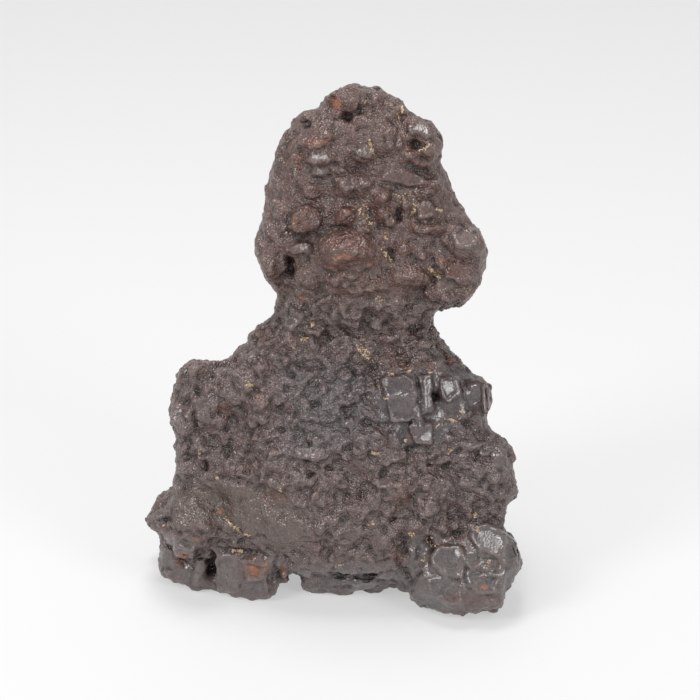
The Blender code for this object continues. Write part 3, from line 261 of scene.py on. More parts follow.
# Colour spots: u, v, half width, half height, strength.
ORANGE_SPOTS = [
    (-30.2, -37.4, 1.4, 1.2, 0.55),
    (-2.6, 44.4, 1.0, 1.2, 0.9), (-14.4, 27.0, 0.35, 0.35, 1.0), (-10.4, 22.8, 0.6, 1.4, 0.7), (-2.5, 16.6, 0.9, 0.4, 0.9), (-0.4, 17.0, 1.2, 0.4, 0.7),
    (3.8, 15.3, 0.8, 0.3, 0.6), (-3.5, 14.8, 0.7, 0.4, 0.8), (17.0, 16.0, 1.4, 0.6, 0.6), (-8.6, 9.3, 0.7, 0.4, 0.9), (16.9, 0.4, 0.4, 0.5, 1.0),
    (17.8, -1.8, 0.6, 0.7, 0.6), (11.0, -15.5, 0.6, 0.15, 1.0), (-23.4, -29.0, 0.5, 0.3, 0.9), (-31.2, -33.2, 0.6, 0.3, 0.9), (-27.7, -33.9, 0.5, 0.3, 0.9),
    (-17.3, -39.8, 1.5, 1.2, 0.6), (-15.3, -39.0, 0.35, 0.9, 0.9), (-18.0, -37.3, 1.1, 0.25, 1.0), (-12.0, -39.7, 0.6, 1.0, 0.8), (-4.8, -36.6, 0.8, 0.4, 0.6),
    (24.4, -42.6, 0.5, 0.4, 1.0), (-6.0, 37.6, 2.0, 0.8, 0.4), (-9.0, 34.0, 0.5, 1.6, 0.4), (13.6, 30.2, 0.8, 0.6, 0.3), (-0.3, 24.8, 0.8, 0.5, 0.5),
]
BROWN_SPOTS = [
    (-0.5, 18.0, 5.4, 3.8, 0.9), (-0.8, 24.0, 2.1, 1.9, 1.0), (-8.6, 23.4, 2.6, 2.8, 0.7), (5.6, 25.8, 2.2, 2.4, 0.8), (11.5, 36.8, 2.6, 1.2, 0.8), (12.6, 34.4, 3.2, 1.8, 0.5),
    (-6.5, 37.6, 3.2, 1.6, 0.8), (-10.0, 33.6, 2.2, 3.4, 0.6), (18.4, 14.8, 3.0, 1.6, 0.8), (13.6, 21.8, 3.4, 1.4, 0.6), (-22.8, -10.8, 1.4, 1.2, 0.7), (-16.0, 3.0, 2.0, 1.8, 0.8),
    (-13.6, -26.6, 3.2, 1.8, 0.6), (-30.0, -38.0, 1.8, 1.4, 1.0), (-28.0, -2.6, 3.6, 1.0, 0.6), (8.4, -37.4, 1.4, 1.2, 0.7), (-17.4, -39.6, 2.2, 1.8, 0.8), (21.0, -45.0, 5.0, 1.6, 0.5),
    (26.0, -45.0, 1.8, 1.6, 0.5), (9.4, 18.0, 2.6, 2.2, 0.6), (2.0, 12.0, 5.0, 2.4, 0.4), (16.0, 29.4, 1.8, 1.8, 0.6), (-3.0, 44.6, 2.4, 1.8, 0.5), (12.0, 13.4, 3.0, 2.0, 0.5),
]

# Sand lying in crevices: grains to the line, how far it spreads, line.
SAND_LINES = [
    (14, 0.35, [(9.3, 43.5), (9.5, 42.8)]), (10, 0.3, [(8.6, 42.3), (8.8, 41.6)]), (46, 0.3, [(3.5, 37.8), (3.7, 36.8), (4.1, 35.4)]), (26, 0.3, [(12.4, 36.0), (13.4, 36.2), (14.4, 36.9)]),
    (40, 0.35, [(11.1, 24.3), (11.6, 25.2), (12.2, 26.3)]), (22, 0.3, [(15.6, 25.3), (16.2, 25.0), (16.8, 25.2)]), (14, 0.4, [(6.3, 20.8), (6.5, 20.0)]), (10, 0.3, [(6.3, 17.6), (6.2, 17.0)]),
    (34, 0.4, [(14.4, 14.8), (15.2, 14.0), (16.1, 12.9)]), (40, 1.1, [(1.8, 26.0), (2.8, 24.2), (3.6, 22.4)]), (18, 0.4, [(-6.9, 4.6), (-6.5, 4.4)]), (26, 0.35, [(-8.4, 1.9), (-7.6, 1.9)]),
    (10, 0.3, [(-10.4, 0.3), (-10.0, 0.3)]), (14, 0.5, [(4.6, 9.2), (6.0, 9.4)]), (22, 0.6, [(-18.6, -6.1), (-17.4, -6.8)]), (60, 0.9, [(1.6, 0.5), (2.8, -0.4), (4.0, -1.7)]),
    (24, 0.3, [(3.9, -18.6), (5.3, -18.5)]), (8, 0.3, [(-12.8, -25.2), (-12.3, -25.3)]), (8, 0.3, [(3.8, -31.3), (4.2, -31.2)]), (12, 0.3, [(5.1, -5.6), (5.2, -6.9)]), (10, 0.3, [(6.2, -8.8), (6.7, -8.6)]),
    (12, 0.3, [(6.8, -4.5), (8.1, -4.3)]), (18, 0.2, [(10.0, -3.8), (11.0, -3.8)]), (8, 0.3, [(14.1, -4.0), (14.5, -4.1)]), (40, 0.35, [(17.4, -12.5), (18.3, -12.6), (19.2, -12.8)]),
    (10, 0.3, [(20.0, -11.0), (20.2, -11.4)]), (14, 0.3, [(16.6, -13.4), (15.4, -13.9)]), (10, 0.3, [(9.9, -16.2), (10.0, -16.7)]), (14, 0.3, [(22.4, -29.4), (22.5, -30.3)]), (14, 0.3, [(22.9, -32.0), (23.0, -32.6)]),
    (10, 0.3, [(17.8, -18.0), (18.3, -18.2)]), (14, 0.3, [(-27.2, -18.3), (-27.0, -18.6)]), (12, 0.3, [(-24.3, -22.9), (-23.7, -22.9)]), (70, 0.3, [(-22.6, -30.2), (-21.0, -31.7), (-19.5, -32.9), (-18.0, -33.4)]),
    (10, 0.3, [(-33.8, -31.6), (-33.4, -31.7)]), (44, 0.3, [(-21.3, -36.1), (-19.5, -36.2)]), (16, 0.4, [(11.6, -33.2), (10.5, -33.1)]), (10, 0.4, [(13.5, -37.0), (12.8, -38.3)]), (12, 0.4, [(15.6, -35.6), (13.8, -34.6)]),
    (8, 0.2, [(14.6, -33.7), (14.8, -33.7)]), (8, 0.3, [(24.8, -38.1), (25.1, -38.2)]), (10, 0.3, [(-2.6, -39.0), (-0.6, -38.5)]), (16, 0.5, [(5.8, 18.4), (7.4, 16.2)]), (20, 1.4, [(8.0, 27.4), (12.0, 28.2)]),
]

# The stone's outline in the picture, from the notch right of the neck round to the start.
OUTLINE = [
    (15.4, 7.4), (14.7, 4.5), (15.5, 3.3), (16.5, 2.0), (17.2, 1.3), (18.2, -0.3), (18.8, -1.1), (19.9, -1.6), (20.6, -3.0), (21.9, -4.2),
    (23.4, -5.1), (24.0, -5.7), (25.4, -6.6), (25.5, -9.0), (25.1, -10.5), (24.5, -11.8), (23.6, -12.7), (24.5, -13.1), (25.2, -14.4),
    (26.5, -15.1), (28.2, -16.5), (29.2, -17.7), (29.6, -18.6), (29.15, -21.0), (29.6, -22.8), (30.15, -25.5), (30.0, -26.4), (28.0, -27.7),
    (28.2, -29.5), (28.0, -32.4), (29.2, -33.2), (29.8, -34.6), (30.6, -36.9), (31.4, -37.8), (30.9, -39.2), (29.6, -40.8), (28.9, -42.3),
    (28.0, -43.6), (27.2, -45.8), (26.1, -47.5), (24.3, -47.2), (22.3, -47.5), (20.6, -48.0), (18.8, -47.6), (16.5, -47.0), (14.0, -46.4),
    (11.3, -45.6), (10.7, -43.4), (7.0, -42.8), (5.0, -43.6), (1.0, -44.3), (-4.0, -44.6), (-5.3, -44.7), (-7.0, -43.8), (-8.8, -43.0),
    (-9.5, -40.4), (-10.3, -40.4), (-11.3, -41.8), (-12.5, -44.3), (-13.6, -45.7), (-15.0, -46.0), (-17.5, -45.3), (-19.0, -44.7),
    (-21.0, -44.9), (-23.0, -44.0), (-25.7, -44.4), (-27.2, -44.4), (-29.8, -42.4), (-31.5, -41.7), (-33.3, -40.9), (-34.5, -39.0),
    (-33.9, -35.0), (-34.4, -32.7), (-35.8, -32.2), (-36.8, -30.6), (-36.4, -29.7), (-35.6, -28.9), (-35.1, -27.6), (-34.5, -26.0),
    (-31.6, -24.7), (-31.8, -23.6), (-31.2, -20.9), (-31.5, -17.2), (-30.9, -16.4), (-32.0, -13.6), (-32.4, -11.3), (-32.1, -8.6),
    (-31.0, -5.7), (-31.0, -4.6), (-30.0, -2.7), (-28.3, -1.7), (-26.7, -2.1), (-23.0, -2.0), (-21.7, -1.8), (-20.2, 0.5), (-18.4, 1.0),
    (-17.8, 2.8), (-16.5, 4.7), (-14.8, 5.1), (-13.7, 6.5), (-13.3, 9.0), (-12.8, 10.2), (-13.7, 11.2), (-15.0, 12.5), (-16.0, 15.0),
    (-17.2, 18.5), (-17.2, 19.7), (-16.3, 22.0), (-15.4, 25.5), (-15.2, 29.5), (-14.0, 32.5), (-13.1, 36.0), (-12.0, 38.7), (-10.6, 40.3),
    (-10.2, 41.5), (-8.3, 43.2), (-6.0, 43.1), (-4.7, 45.3), (-2.5, 46.7), (0.5, 47.9), (3.5, 47.2), (5.3, 47.4), (7.0, 45.8), (9.3, 45.0),
    (9.9, 43.5), (11.0, 42.6), (14.5, 41.0), (16.8, 38.3), (16.5, 35.0), (16.0, 34.0), (17.6, 32.0), (17.5, 31.0), (18.6, 29.3),
    (19.0, 27.2), (20.4, 25.6), (22.0, 22.6), (23.4, 21.3), (24.5, 18.8), (25.0, 17.5), (24.2, 15.9), (24.4, 15.2), (23.5, 13.1),
    (23.5, 12.0), (22.0, 10.0), (20.0, 8.1), (18.5, 7.5), (16.6, 7.2),
]

# Places with a skin of their own, as corners in the picture.
SMOOTH_PLATE = [(-33, -26), (-24, -23.5), (-14, -25), (-7, -29), (-8, -37), (-14, -36), (-22, -31), (-31, -32)]
CRYSTALS = [(5, -4), (12, -3.6), (16, -3.4), (20, -3), (26, -6.2), (26, -12.6), (20, -12), (15, -18), (9, -18), (5, -12.6)]
CLUSTER = [(11, -32.6), (20, -33.5), (24, -31.2), (29, -32.4), (33, -38), (27, -48), (11, -46.5), (10, -42)]
CUBES = [(-35, -32.4), (-27, -34.2), (-20, -36.2), (-13, -37), (-12, -46.5), (-36, -45)]
FOOT = [(-10, -38.6), (-4, -38.4), (8, -38.2), (10.5, -42), (9, -45), (-9, -45)]
RIGHT_FOLDS = [(16, -13), (25, -13.4), (31, -18), (31, -27), (28, -32), (22, -31), (16, -24)]
WORMS = [(-10, -27), (8, -26), (10, -33), (9, -38), (-9, -38)]
COOL_SLOPE = [(-12, -2), (4, -3), (5, -18), (-12, -19)]


def smooth_step(low, high, values):
    """0 below low, 1 above high and a soft change between."""
    t = np.clip((values - low) / (high - low), 0.0, 1.0)
    return t * t * (3.0 - 2.0 * t)


def turned(points, seed):
    """The points turned by a steady random turn, so that no noise lines up with the axes."""
    dice = random.Random(seed)
    turn = Matrix.Rotation(dice.uniform(0.5, 2.5), 3, Vector([dice.uniform(-1, 1) for _ in range(3)]).normalized())
    return points @ np.array(turn)


def waves(points, size, seed):
    """Soft noise from about -1 to 1 with bumps about size millimetres across."""
    places = turned(points, seed) / size + seed * 7.31
    return np.array([noise.noise(place) for place in places.tolist()]) * 1.6


def rough_waves(points, size, seed, layers=3):
    """Noise of several sizes, each half the one before."""
    total = np.zeros(len(points))
    for layer in range(layers):
        total += waves(points, size / 2 ** layer, seed + layer) / 2 ** layer
    return total / 1.5


def swells(points, size, seed):
    """Rounded swells with sharp creases between them, from 0 to about 1."""
    return np.abs(waves(drift(points, size, size * 0.35, seed + 3), size, seed))


def ridges(points, size, seed):
    """Sharp ridges with rounded dips between them, from about 0 to 1."""
    return 1.0 - swells(points, size, seed)


def contours(points, size, count, seed):
    """Thin ridges that run like the lines of a map, from 0 to 1."""
    level = waves(drift(points, size, size * 0.25, seed + 3), size, seed) * count
    return (1.0 - np.abs(np.sin(level * math.pi))) ** 2


def tilted_chips(points, size, seed):
    """Chips of rock, each with its own flat slope, from about -0.5 to 0.5."""
    places = (turned(points, seed) / size + seed * 3.17).tolist()
    rise = []
    for place in places:
        centre = noise.voronoi(place)[1][0]
        slope = noise.cell_vector(centre)
        rise.append((Vector(place) - centre).dot(slope))
    return np.array(rise)


def drift(points, size, amount, seed):
    """The points moved about by soft noise, which bends the lines of what is drawn on them."""
    return points + amount * np.stack([waves(points, size, seed + 11 * axis) for axis in range(3)], 1)


class Skin:
    """The stone's surface while it is carved, in millimetres, with its place in the picture."""

    def __init__(self, mesh):
        self.mesh = mesh
        self.count = len(mesh.vertices)
        places = np.empty(self.count * 3, np.float32)
        mesh.vertices.foreach_get("co", places)
        self.place = places.reshape(-1, 3).astype(float) / MM
        edges = np.empty(len(mesh.edges) * 2, np.int32)
        mesh.edges.foreach_get("vertices", edges)
        self.edges = edges.reshape(-1, 2)
        self.degree = np.maximum(np.bincount(edges, minlength=self.count), 1)
        self.refresh()

    def evened(self, values, rounds):
        """Values averaged with their neighbours, several times."""
        a, b = self.edges.T
        flat = values.reshape(self.count, -1)
        for _ in range(rounds):
            columns = []
            for column in flat.T:
                total = np.bincount(a, weights=column[b], minlength=self.count)
                total += np.bincount(b, weights=column[a], minlength=self.count)
                columns.append((column + total) / (self.degree + 1))
            flat = np.stack(columns, 1)
        return flat.reshape(values.shape)

    def store(self):
        """Writes the places back into the mesh."""
        self.mesh.vertices.foreach_set("co", (self.place * MM).astype(np.float32).ravel())
        self.mesh.update()

    def refresh(self):
        """Works out the outward direction and the picture place of every point."""
        self.store()
        outward = np.empty(self.count * 3, np.float32)
        self.mesh.vertex_normals.foreach_get("vector", outward)
        self.outward = outward.reshape(-1, 3).astype(float)
        away = self.place - np.array(EYE)
        reach = -(away @ np.array(TOWARDS_EYE))
        scale = EYE_DISTANCE / reach
        self.u = (away @ np.array(RIGHT)) * scale
        self.v = (away @ np.array(UP)) * scale
        self.near = EYE_DISTANCE - reach
        self.beam = away / reach[:, None]
        self.facing = -(self.outward * away).sum(1) / np.sqrt((away ** 2).sum(1))
        self.find_front()

    def find_front(self):
        """How much each point is seen from the picture's eye, from 0 to 1."""
        cell = 0.7
        column = ((self.u + 60.0) / cell).astype(int)
        row = ((self.v + 60.0) / cell).astype(int)
        index = column * 200 + row
        nearest = np.full(200 * 200, -1e9)
        np.maximum.at(nearest, index, self.near)
        seen = self.near > nearest[index] - 3.0
        self.front = seen * smooth_step(-0.05, 0.25, self.facing)

    def blurred_outward(self, rounds):
        outward = self.evened(self.outward, rounds)
        return outward / np.maximum(np.sqrt((outward ** 2).sum(1)), 1e-6)[:, None]

    def raise_by(self, amount, rounds=2):
        """Moves every point outwards by its amount."""
        self.place = self.place + self.blurred_outward(rounds) * amount[:, None]
        self.refresh()

    def bend_picture(self, size, amount, seed):
        """Picture places that wander a little, so that drawn shapes get natural edges."""
        self.bent_u = self.u + amount * waves(self.place, size, seed)
        self.bent_v = self.v + amount * waves(self.place, size, seed + 1)


def oval(skin, u, v, half_u, half_v, roll=0.0, power=2.0):
    """How far out each point lies in an oval drawn on the picture: 1 on its edge."""
    turn = math.radians(roll)
    du, dv = skin.bent_u - u, skin.bent_v - v
    across = np.abs(du * math.cos(turn) + dv * math.sin(turn)) / half_u
    along = np.abs(dv * math.cos(turn) - du * math.sin(turn)) / half_v
    return (across ** power + along ** power) ** (1.0 / power)


def line_gap(skin, line):
    """Distance of each point to a line drawn on the picture, and how far along the line it is."""
    best = np.full(skin.count, 99.0)
    along = np.zeros(skin.count)
    pieces = len(line) - 1
    for number, (start, end) in enumerate(zip(line, line[1:])):
        du, dv = end[0] - start[0], end[1] - start[1]
        length = du * du + dv * dv
        t = np.clip(((skin.bent_u - start[0]) * du + (skin.bent_v - start[1]) * dv) / length, 0.0, 1.0)
        gap = np.hypot(skin.bent_u - start[0] - t * du, skin.bent_v - start[1] - t * dv)
        closer = gap < best
        best = np.where(closer, gap, best)
        along = np.where(closer, (number + t) / pieces, along)
    return best, along


def inside_gap(u, v, corners):
    """Distance to the edge of a shape drawn on the picture, negative outside it."""
    odd = np.zeros(len(u), bool)
    gap = np.full(len(u), 99.0)
    for (au, av), (bu, bv) in zip(corners, corners[1:] + corners[:1]):
        crosses = (av > v) != (bv > v)
        at = au + (v - av) * (bu - au) / (bv - av if bv != av else 1e-9)
        odd ^= crosses & (u < at)
        length = (bu - au) ** 2 + (bv - av) ** 2
        t = np.clip(((u - au) * (bu - au) + (v - av) * (bv - av)) / length, 0.0, 1.0)
        gap = np.minimum(gap, np.hypot(u - au - t * (bu - au), v - av - t * (bv - av)))
    return np.where(odd, gap, -gap)


def inside(u, v, corners, softness):
    """1 inside a shape drawn on the picture, 0 outside, soft across its edge."""
    return smooth_step(-softness, softness, inside_gap(u, v, corners))


def picture_ray(u, v):
    """Start and direction in metres of the look from the eye through a place in the picture."""
    target = AIM + RIGHT * u + UP * v
    return EYE * MM, (target - EYE).normalized()


def remeshed(obj, grain):
    """The object's mesh as one even skin, as a new mesh."""
    remesh = obj.modifiers.new("even skin", "REMESH")
    remesh.mode = "VOXEL"
    remesh.voxel_size = grain
    graph = bpy.context.evaluated_depsgraph_get()
    mesh = bpy.data.meshes.new_from_object(obj.evaluated_get(graph))
    obj.modifiers.remove(remesh)
    return mesh


def bare_object(name, mesh):
    obj = bpy.data.objects.new(name, mesh)
    bpy.context.scene.collection.objects.link(obj)
    return obj


def drop_object(obj):
    mesh = obj.data
    bpy.data.objects.remove(obj)
    bpy.data.meshes.remove(mesh)


def softened_core(grain):
    """The CAD stone as an even, slightly softened mesh."""
    shape = bmesh.new()
    shape.from_mesh(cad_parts["prophecy_stone"].data)
    bmesh.ops.remove_doubles(shape, verts=shape.verts, dist=1e-6)
    mesh = bpy.data.meshes.new("stone core")
    shape.to_mesh(mesh)
    shape.free()
    rough = bare_object("stone core", mesh)
    even = remeshed(rough, grain)
    drop_object(rough)
    skin = Skin(even)
    skin.place = skin.evened(skin.place, 3)
    skin.store()
    return even


def join_piece(shape, piece):
    """Adds a small bmesh to the big one and frees it."""
    mesh = bpy.data.meshes.new("piece")
    piece.to_mesh(mesh)
    piece.free()
    shape.from_mesh(mesh)
    bpy.data.meshes.remove(mesh)


def add_lump(shape, hit, outward, sizes, roll, facets, dice):
    """Adds one nodule: a ball pressed by a few flat faces, seated on the skin at hit."""
    piece = bmesh.new()
    made = bmesh.ops.create_icosphere(piece, subdivisions=3, radius=1.0)["verts"]
    for _ in range(facets):
        face = Vector([dice.uniform(-1, 1), dice.uniform(-1, 1), dice.uniform(-0.2, 1)]).normalized()
        level = dice.uniform(0.62, 0.86)
        for vert in made:
            over = vert.co.dot(face) - level
            if over > 0.0:
                vert.co -= face * over * 0.9
    up = (UP - outward * UP.dot(outward)).normalized()
    right = up.cross(outward).normalized()
    turn = Matrix((right, up, outward)).transposed() @ Matrix.Rotation(math.radians(roll), 3, "Z")
    for vert in made:
        vert.co = hit + turn @ Vector((vert.co.x * sizes[0], vert.co.y * sizes[1], vert.co.z * sizes[2])) * MM
    join_piece(shape, piece)


def add_blocks(shape, tree):
    """Grows the blocks: each front face lies on the plane that fits the skin at its corners best."""
    for corners, rise, thick in BLOCKS:
        middle_u, middle_v = np.mean(corners, axis=0)
        spots, reach = [], []
        for u, v in corners + [(middle_u, middle_v)]:
            hit, _, _, _ = tree.ray_cast(*picture_ray(u, v))
            if hit is not None:
                spots.append((u, v, 1.0))
                reach.append((hit - EYE * MM).length / MM)
        fit, *_ = np.linalg.lstsq(np.array(spots), np.array(reach), rcond=None)
        level = [u * fit[0] + v * fit[1] + fit[2] for u, v in corners]
        piece = bmesh.new()
        for (u, v), depth in zip(corners, level):
            start, look = picture_ray(u, v)
            piece.verts.new(start + look * (depth - rise) * MM)
            piece.verts.new(start + look * (depth + thick) * MM)
        bmesh.ops.convex_hull(piece, input=piece.verts)
        join_piece(shape, piece)


def add_front_lumps(shape, tree, dice):
    """Seats every lump of the lists on the skin that the picture shows."""
    for u, v, half_u, half_v, rise, roll, facets in HEAD_LUMPS + BODY_LUMPS:
        hit, outward, _, _ = tree.ray_cast(*picture_ray(u, v))
        if hit is None:
            continue
        outward = (outward * 0.6 + TOWARDS_EYE).normalized()
        thick = max(min(half_u, half_v, 2.4), rise + 0.9)
        add_lump(shape, hit - outward * (thick - rise) * MM, outward, (half_u, half_v, thick), roll, facets, dice)


def add_back_lumps(shape, tree, core, dice):
    """Grows lumps all over the sides and the back, from a narrower range of sizes on the head."""
    points = [v.co.copy() for v in core.vertices]
    taken = []
    for _ in range(2600):
        start = points[dice.randrange(len(points))]
        hit, outward, _, _ = tree.find_nearest(start)
        view = (hit / MM - EYE).normalized()
        if outward.dot(view) < 0.05 or hit.z < 2.5 * MM:
            continue
        on_head = hit.z > 52.0 * MM
        size = dice.uniform(1.0, 2.6) if on_head else dice.uniform(0.9, 2.9)
        if any((hit - other).length < (size + room) * 0.85 * MM for other, room in taken):
            continue
        taken.append((hit, size))
        rise = size * dice.uniform(0.35, 0.6)
        thick = size * 0.8
        sizes = (size * dice.uniform(0.8, 1.4), size * dice.uniform(0.8, 1.3), thick)
        add_lump(shape, hit - outward * (thick - rise) * MM, outward, sizes, dice.uniform(0, 180), dice.randint(2, 5), dice)


def grown_stone(grain):
    """The core with all its lumps, as one even mesh."""
    core = softened_core(0.8 * MM)
    shape = bmesh.new()
    shape.from_mesh(core)
    tree = BVHTree.FromBMesh(shape)
    dice = random.Random(17)
    add_front_lumps(shape, tree, dice)
    add_blocks(shape, tree)
    add_back_lumps(shape, tree, core, dice)
    mesh = bpy.data.meshes.new("stone lumps")
    shape.to_mesh(mesh)
    shape.free()
    bpy.data.meshes.remove(core)
    lumps = bare_object("stone lumps", mesh)
    even = remeshed(lumps, grain)
    drop_object(lumps)
    return even


def zones(skin):
    """How much each point belongs to each kind of skin."""
    u, v, front = skin.u, skin.v, skin.front
    found = {}
    found["head"] = smooth_step(7.0, 11.0, v)
    found["plate"] = inside(u, v, SMOOTH_PLATE, 1.5) * front
    found["crystal"] = inside(u, v, CRYSTALS, 0.8) * front
    found["cluster"] = inside(u, v, CLUSTER, 0.8) * front
    found["cubes"] = inside(u, v, CUBES, 0.8) * front
    found["foot"] = inside(u, v, FOOT, 0.8) * front
    found["folds"] = inside(u, v, RIGHT_FOLDS, 1.2) * front
    found["worms"] = inside(u, v, WORMS, 1.5) * front
    found["cool"] = inside(u, v, COOL_SLOPE, 3.0) * front
    found["smooth"] = np.clip(found["crystal"] + found["cluster"] + found["cubes"] * 0.9 + found["foot"] * 0.8, 0, 1)
    return found


def lay_flat(skin, mask, u, v, lean_up, lean_right, lift):
    """Lays the masked part of the front flat, keeping part of its own slope."""
    core = (mask > 0.5) & (skin.front > 0.3)
    if core.sum() < 6:
        return
    du, dv = skin.u - u, skin.v - v
    middle = np.median(skin.near[core])
    fit, *_ = np.linalg.lstsq(np.stack([du[core], dv[core], np.ones(core.sum())], 1), skin.near[core], rcond=None)
    slope_u, slope_v = np.clip(fit[:2], -1.2, 1.2)
    target = middle + lift + (slope_u * 0.6 - lean_right) * du + (slope_v * 0.6 - lean_up) * dv
    change = np.clip(target - skin.near, -1.6, 1.6) * mask
    skin.place = skin.place - skin.beam * change[:, None]
    skin.near = skin.near + change


def lay_faces(skin):
    """Lays each listed face flat. Returns how much each point lies in one, and the rise of their rims."""
    skin.bend_picture(1.6, 0.25, 40)
    seen = skin.front > 0.2
    flat = np.zeros(skin.count)
    rims = np.zeros(skin.count)
    for u, v, half_u, half_v, roll, lean_up, lean_right, lift in FLAT_FACES:
        mask = smooth_step(1.25, 0.85, oval(skin, u, v, half_u, half_v, roll, 3.0)) * seen
        lay_flat(skin, mask, u, v, lean_up, lean_right, lift)
        flat = np.maximum(flat, mask)
    for corners, lean_up, lean_right, lift, rim in FACETS:
        level = inside_gap(skin.bent_u, skin.bent_v, corners)
        mask = smooth_step(-0.35, 0.2, level) * seen
        u, v = np.mean(corners, axis=0)
        lay_flat(skin, mask, u, v, lean_up, lean_right, lift)
        flat = np.maximum(flat * (1.0 - mask), mask)
        rims = np.maximum(rims, rim * np.exp(-((level + 0.15) / 0.28) ** 2) * seen)
    skin.refresh()
    return flat, rims


def big_shapes(skin, zone):
    """Swells and folds several millimetres wide, over the whole stone."""
    head = zone["head"]
    rise = 1.0 * (swells(skin.place, 5.4, 5) - 0.35) * (1.0 - 0.7 * head)
    rise += 0.6 * (swells(skin.place, 2.9, 9) - 0.35) * (1.0 - 0.5 * head)
    rise += 0.8 * tilted_chips(skin.place, 3.4, 15) * (1.0 - 0.5 * head)
    return rise * (1.0 - 0.8 * zone["smooth"]) * (1.0 - 0.7 * zone["plate"])


def wrinkles(skin, zone):
    """Folds and small nodules of one to three millimetres."""
    head = zone["head"]
    rise = 0.22 * (ridges(skin.place, 1.9, 33) - 0.65) * (1.0 - 0.5 * head)
    rise += 0.55 * (swells(skin.place, 1.8, 37) - 0.35) * (1.0 - 0.25 * head)
    rise += 0.08 * (ridges(skin.place, 1.0, 41) - 0.65)
    rise += 0.28 * tilted_chips(skin.place, 1.5, 45) * (1.0 - 0.3 * head)
    return rise


def map_lines(skin, zone):
    """Thin meandering seams of the right side and of the low middle."""
    right = 0.34 * contours(skin.place, 5.0, 3.2, 55) * zone["folds"]
    low = 0.30 * contours(skin.place, 3.2, 2.6, 57) * zone["worms"]
    return right + low


def flow_lines(skin):
    """Fine lines that run down to the right over the smooth plate."""
    across = (skin.bent_v + 0.55 * skin.bent_u + 0.8 * waves(skin.place, 5.0, 61)) * 2.0 * math.pi / 1.5
    return 0.07 * np.sin(across)


def draw_lines(skin, lines, sign):
    """Rise of all cracks or seams of a list."""
    total = np.zeros(skin.count)
    for width, size, line in lines:
        gap, along = line_gap(skin, line)
        taper = np.clip(4.0 * along * (1.0 - along) + 0.35, 0.0, 1.0)
        shape = np.exp(-(gap / (width * 0.62 * (0.6 + 0.4 * taper))) ** 2)
        total = np.maximum(total, shape * size * taper)
    return sign * total * skin.front


def dig_hollows(skin):
    total = np.zeros(skin.count)
    for u, v, half_u, half_v, roll, depth in HOLLOWS:
        level = oval(skin, u, v, half_u, half_v, roll)
        total = np.maximum(total, smooth_step(1.2, 0.3, level) * depth)
    return -total * skin.front


def keep_in_outline(skin):
    """Pulls whatever stands outside the outline back onto it, and nothing below the floor."""
    for _ in range(2):
        best = np.full(skin.count, 99.0)
        to_u, to_v = skin.u.copy(), skin.v.copy()
        odd = np.zeros(skin.count, bool)
        u, v = skin.u, skin.v
        for (au, av), (bu, bv) in zip(OUTLINE, OUTLINE[1:] + OUTLINE[:1]):
            crosses = (av > v) != (bv > v)
            at = au + (v - av) * (bu - au) / (bv - av if bv != av else 1e-9)
            odd ^= crosses & (u < at)
            length = (bu - au) ** 2 + (bv - av) ** 2
            t = np.clip(((u - au) * (bu - au) + (v - av) * (bv - av)) / length, 0.0, 1.0)
            pu, pv = au + t * (bu - au), av + t * (bv - av)
            gap = np.hypot(u - pu, v - pv)
            closer = gap < best
            best = np.where(closer, gap, best)
            to_u = np.where(closer, pu, to_u)
            to_v = np.where(closer, pv, to_v)
        outside = ~odd
        back = np.where(outside, 1.0, 0.0)
        scale = (EYE_DISTANCE - skin.near) / EYE_DISTANCE
        skin.place = skin.place + np.outer((to_u - u) * back * scale, np.array(RIGHT)) + np.outer((to_v - v) * back * scale, np.array(UP))
        skin.refresh()
    skin.place[:, 2] = np.maximum(skin.place[:, 2], 0.0)
    skin.refresh()


def hollowness(skin, rounds):
    """Positive in crevices and negative on ridges, in millimetres."""
    return ((skin.evened(skin.place, rounds) - skin.place) * skin.outward).sum(1)


def spots(skin, listed):
    total = np.zeros(skin.count)
    for u, v, half_u, half_v, strength in listed:
        total = np.maximum(total, strength * smooth_step(1.25, 0.45, oval(skin, u, v, half_u, half_v)))
    return total * skin.front


def mixed(base, other, amount):
    return base + (np.array(other) - base) * amount[:, None]


def colours_and_painted_shade(skin, zone, flat, settings):
    """The stone's colour at every point, before the fine grain of the material, with painted shade in its crevices and
    hollows and a lighter colour on its ridges.
    """
    skin.bend_picture(1.2, 0.45, 80)
    fine = hollowness(skin, 3)
    broad = hollowness(skin, 24)
    blotch = rough_waves(skin.place, 7.0, 83)
    small = rough_waves(skin.place, 1.6, 87)
    colour = np.tile(np.array(settings.body_colour), (skin.count, 1))
    colour = mixed(colour, settings.head_colour, zone["head"] * 0.9)
    colour = mixed(colour, settings.cool_colour, np.clip(zone["cool"] * 0.8 + zone["crystal"] * 0.8 + zone["folds"] * 0.35, 0, 1))
    colour = mixed(colour, settings.olive_colour, zone["plate"] * 0.6)
    colour = mixed(colour, settings.grey_colour, np.clip(zone["cluster"] * 0.7 + zone["foot"] * 0.6 + zone["cubes"] * 0.3 + flat * 0.35, 0, 1))
    colour = mixed(colour, settings.rust_colour, smooth_step(0.35, 0.95, blotch + 0.35 * small) * 0.45)
    colour = mixed(colour, settings.rust_colour, spots(skin, BROWN_SPOTS) * 0.85)
    colour = mixed(colour, settings.orange_colour, spots(skin, ORANGE_SPOTS) * (0.8 + 0.3 * small))
    # Painted shade: near-black colour laid into the small crevices and, more softly, into the broad hollows, darker the
    # deeper they are.
    colour = mixed(colour, settings.painted_crevice_shade, smooth_step(0.015, 0.13, fine) * 0.75)
    colour = mixed(colour, settings.painted_crevice_shade, smooth_step(0.15, 1.0, broad) * 0.55)
    # Lighter colour laid on the ridges, more on the sharper ones.
    colour = mixed(colour, settings.edge_colour, smooth_step(0.03, 0.16, -fine) * 0.5)
    colour *= (1.0 + 0.22 * small)[:, None]
    return np.clip(colour, 0.004, 0.9), fine, broad


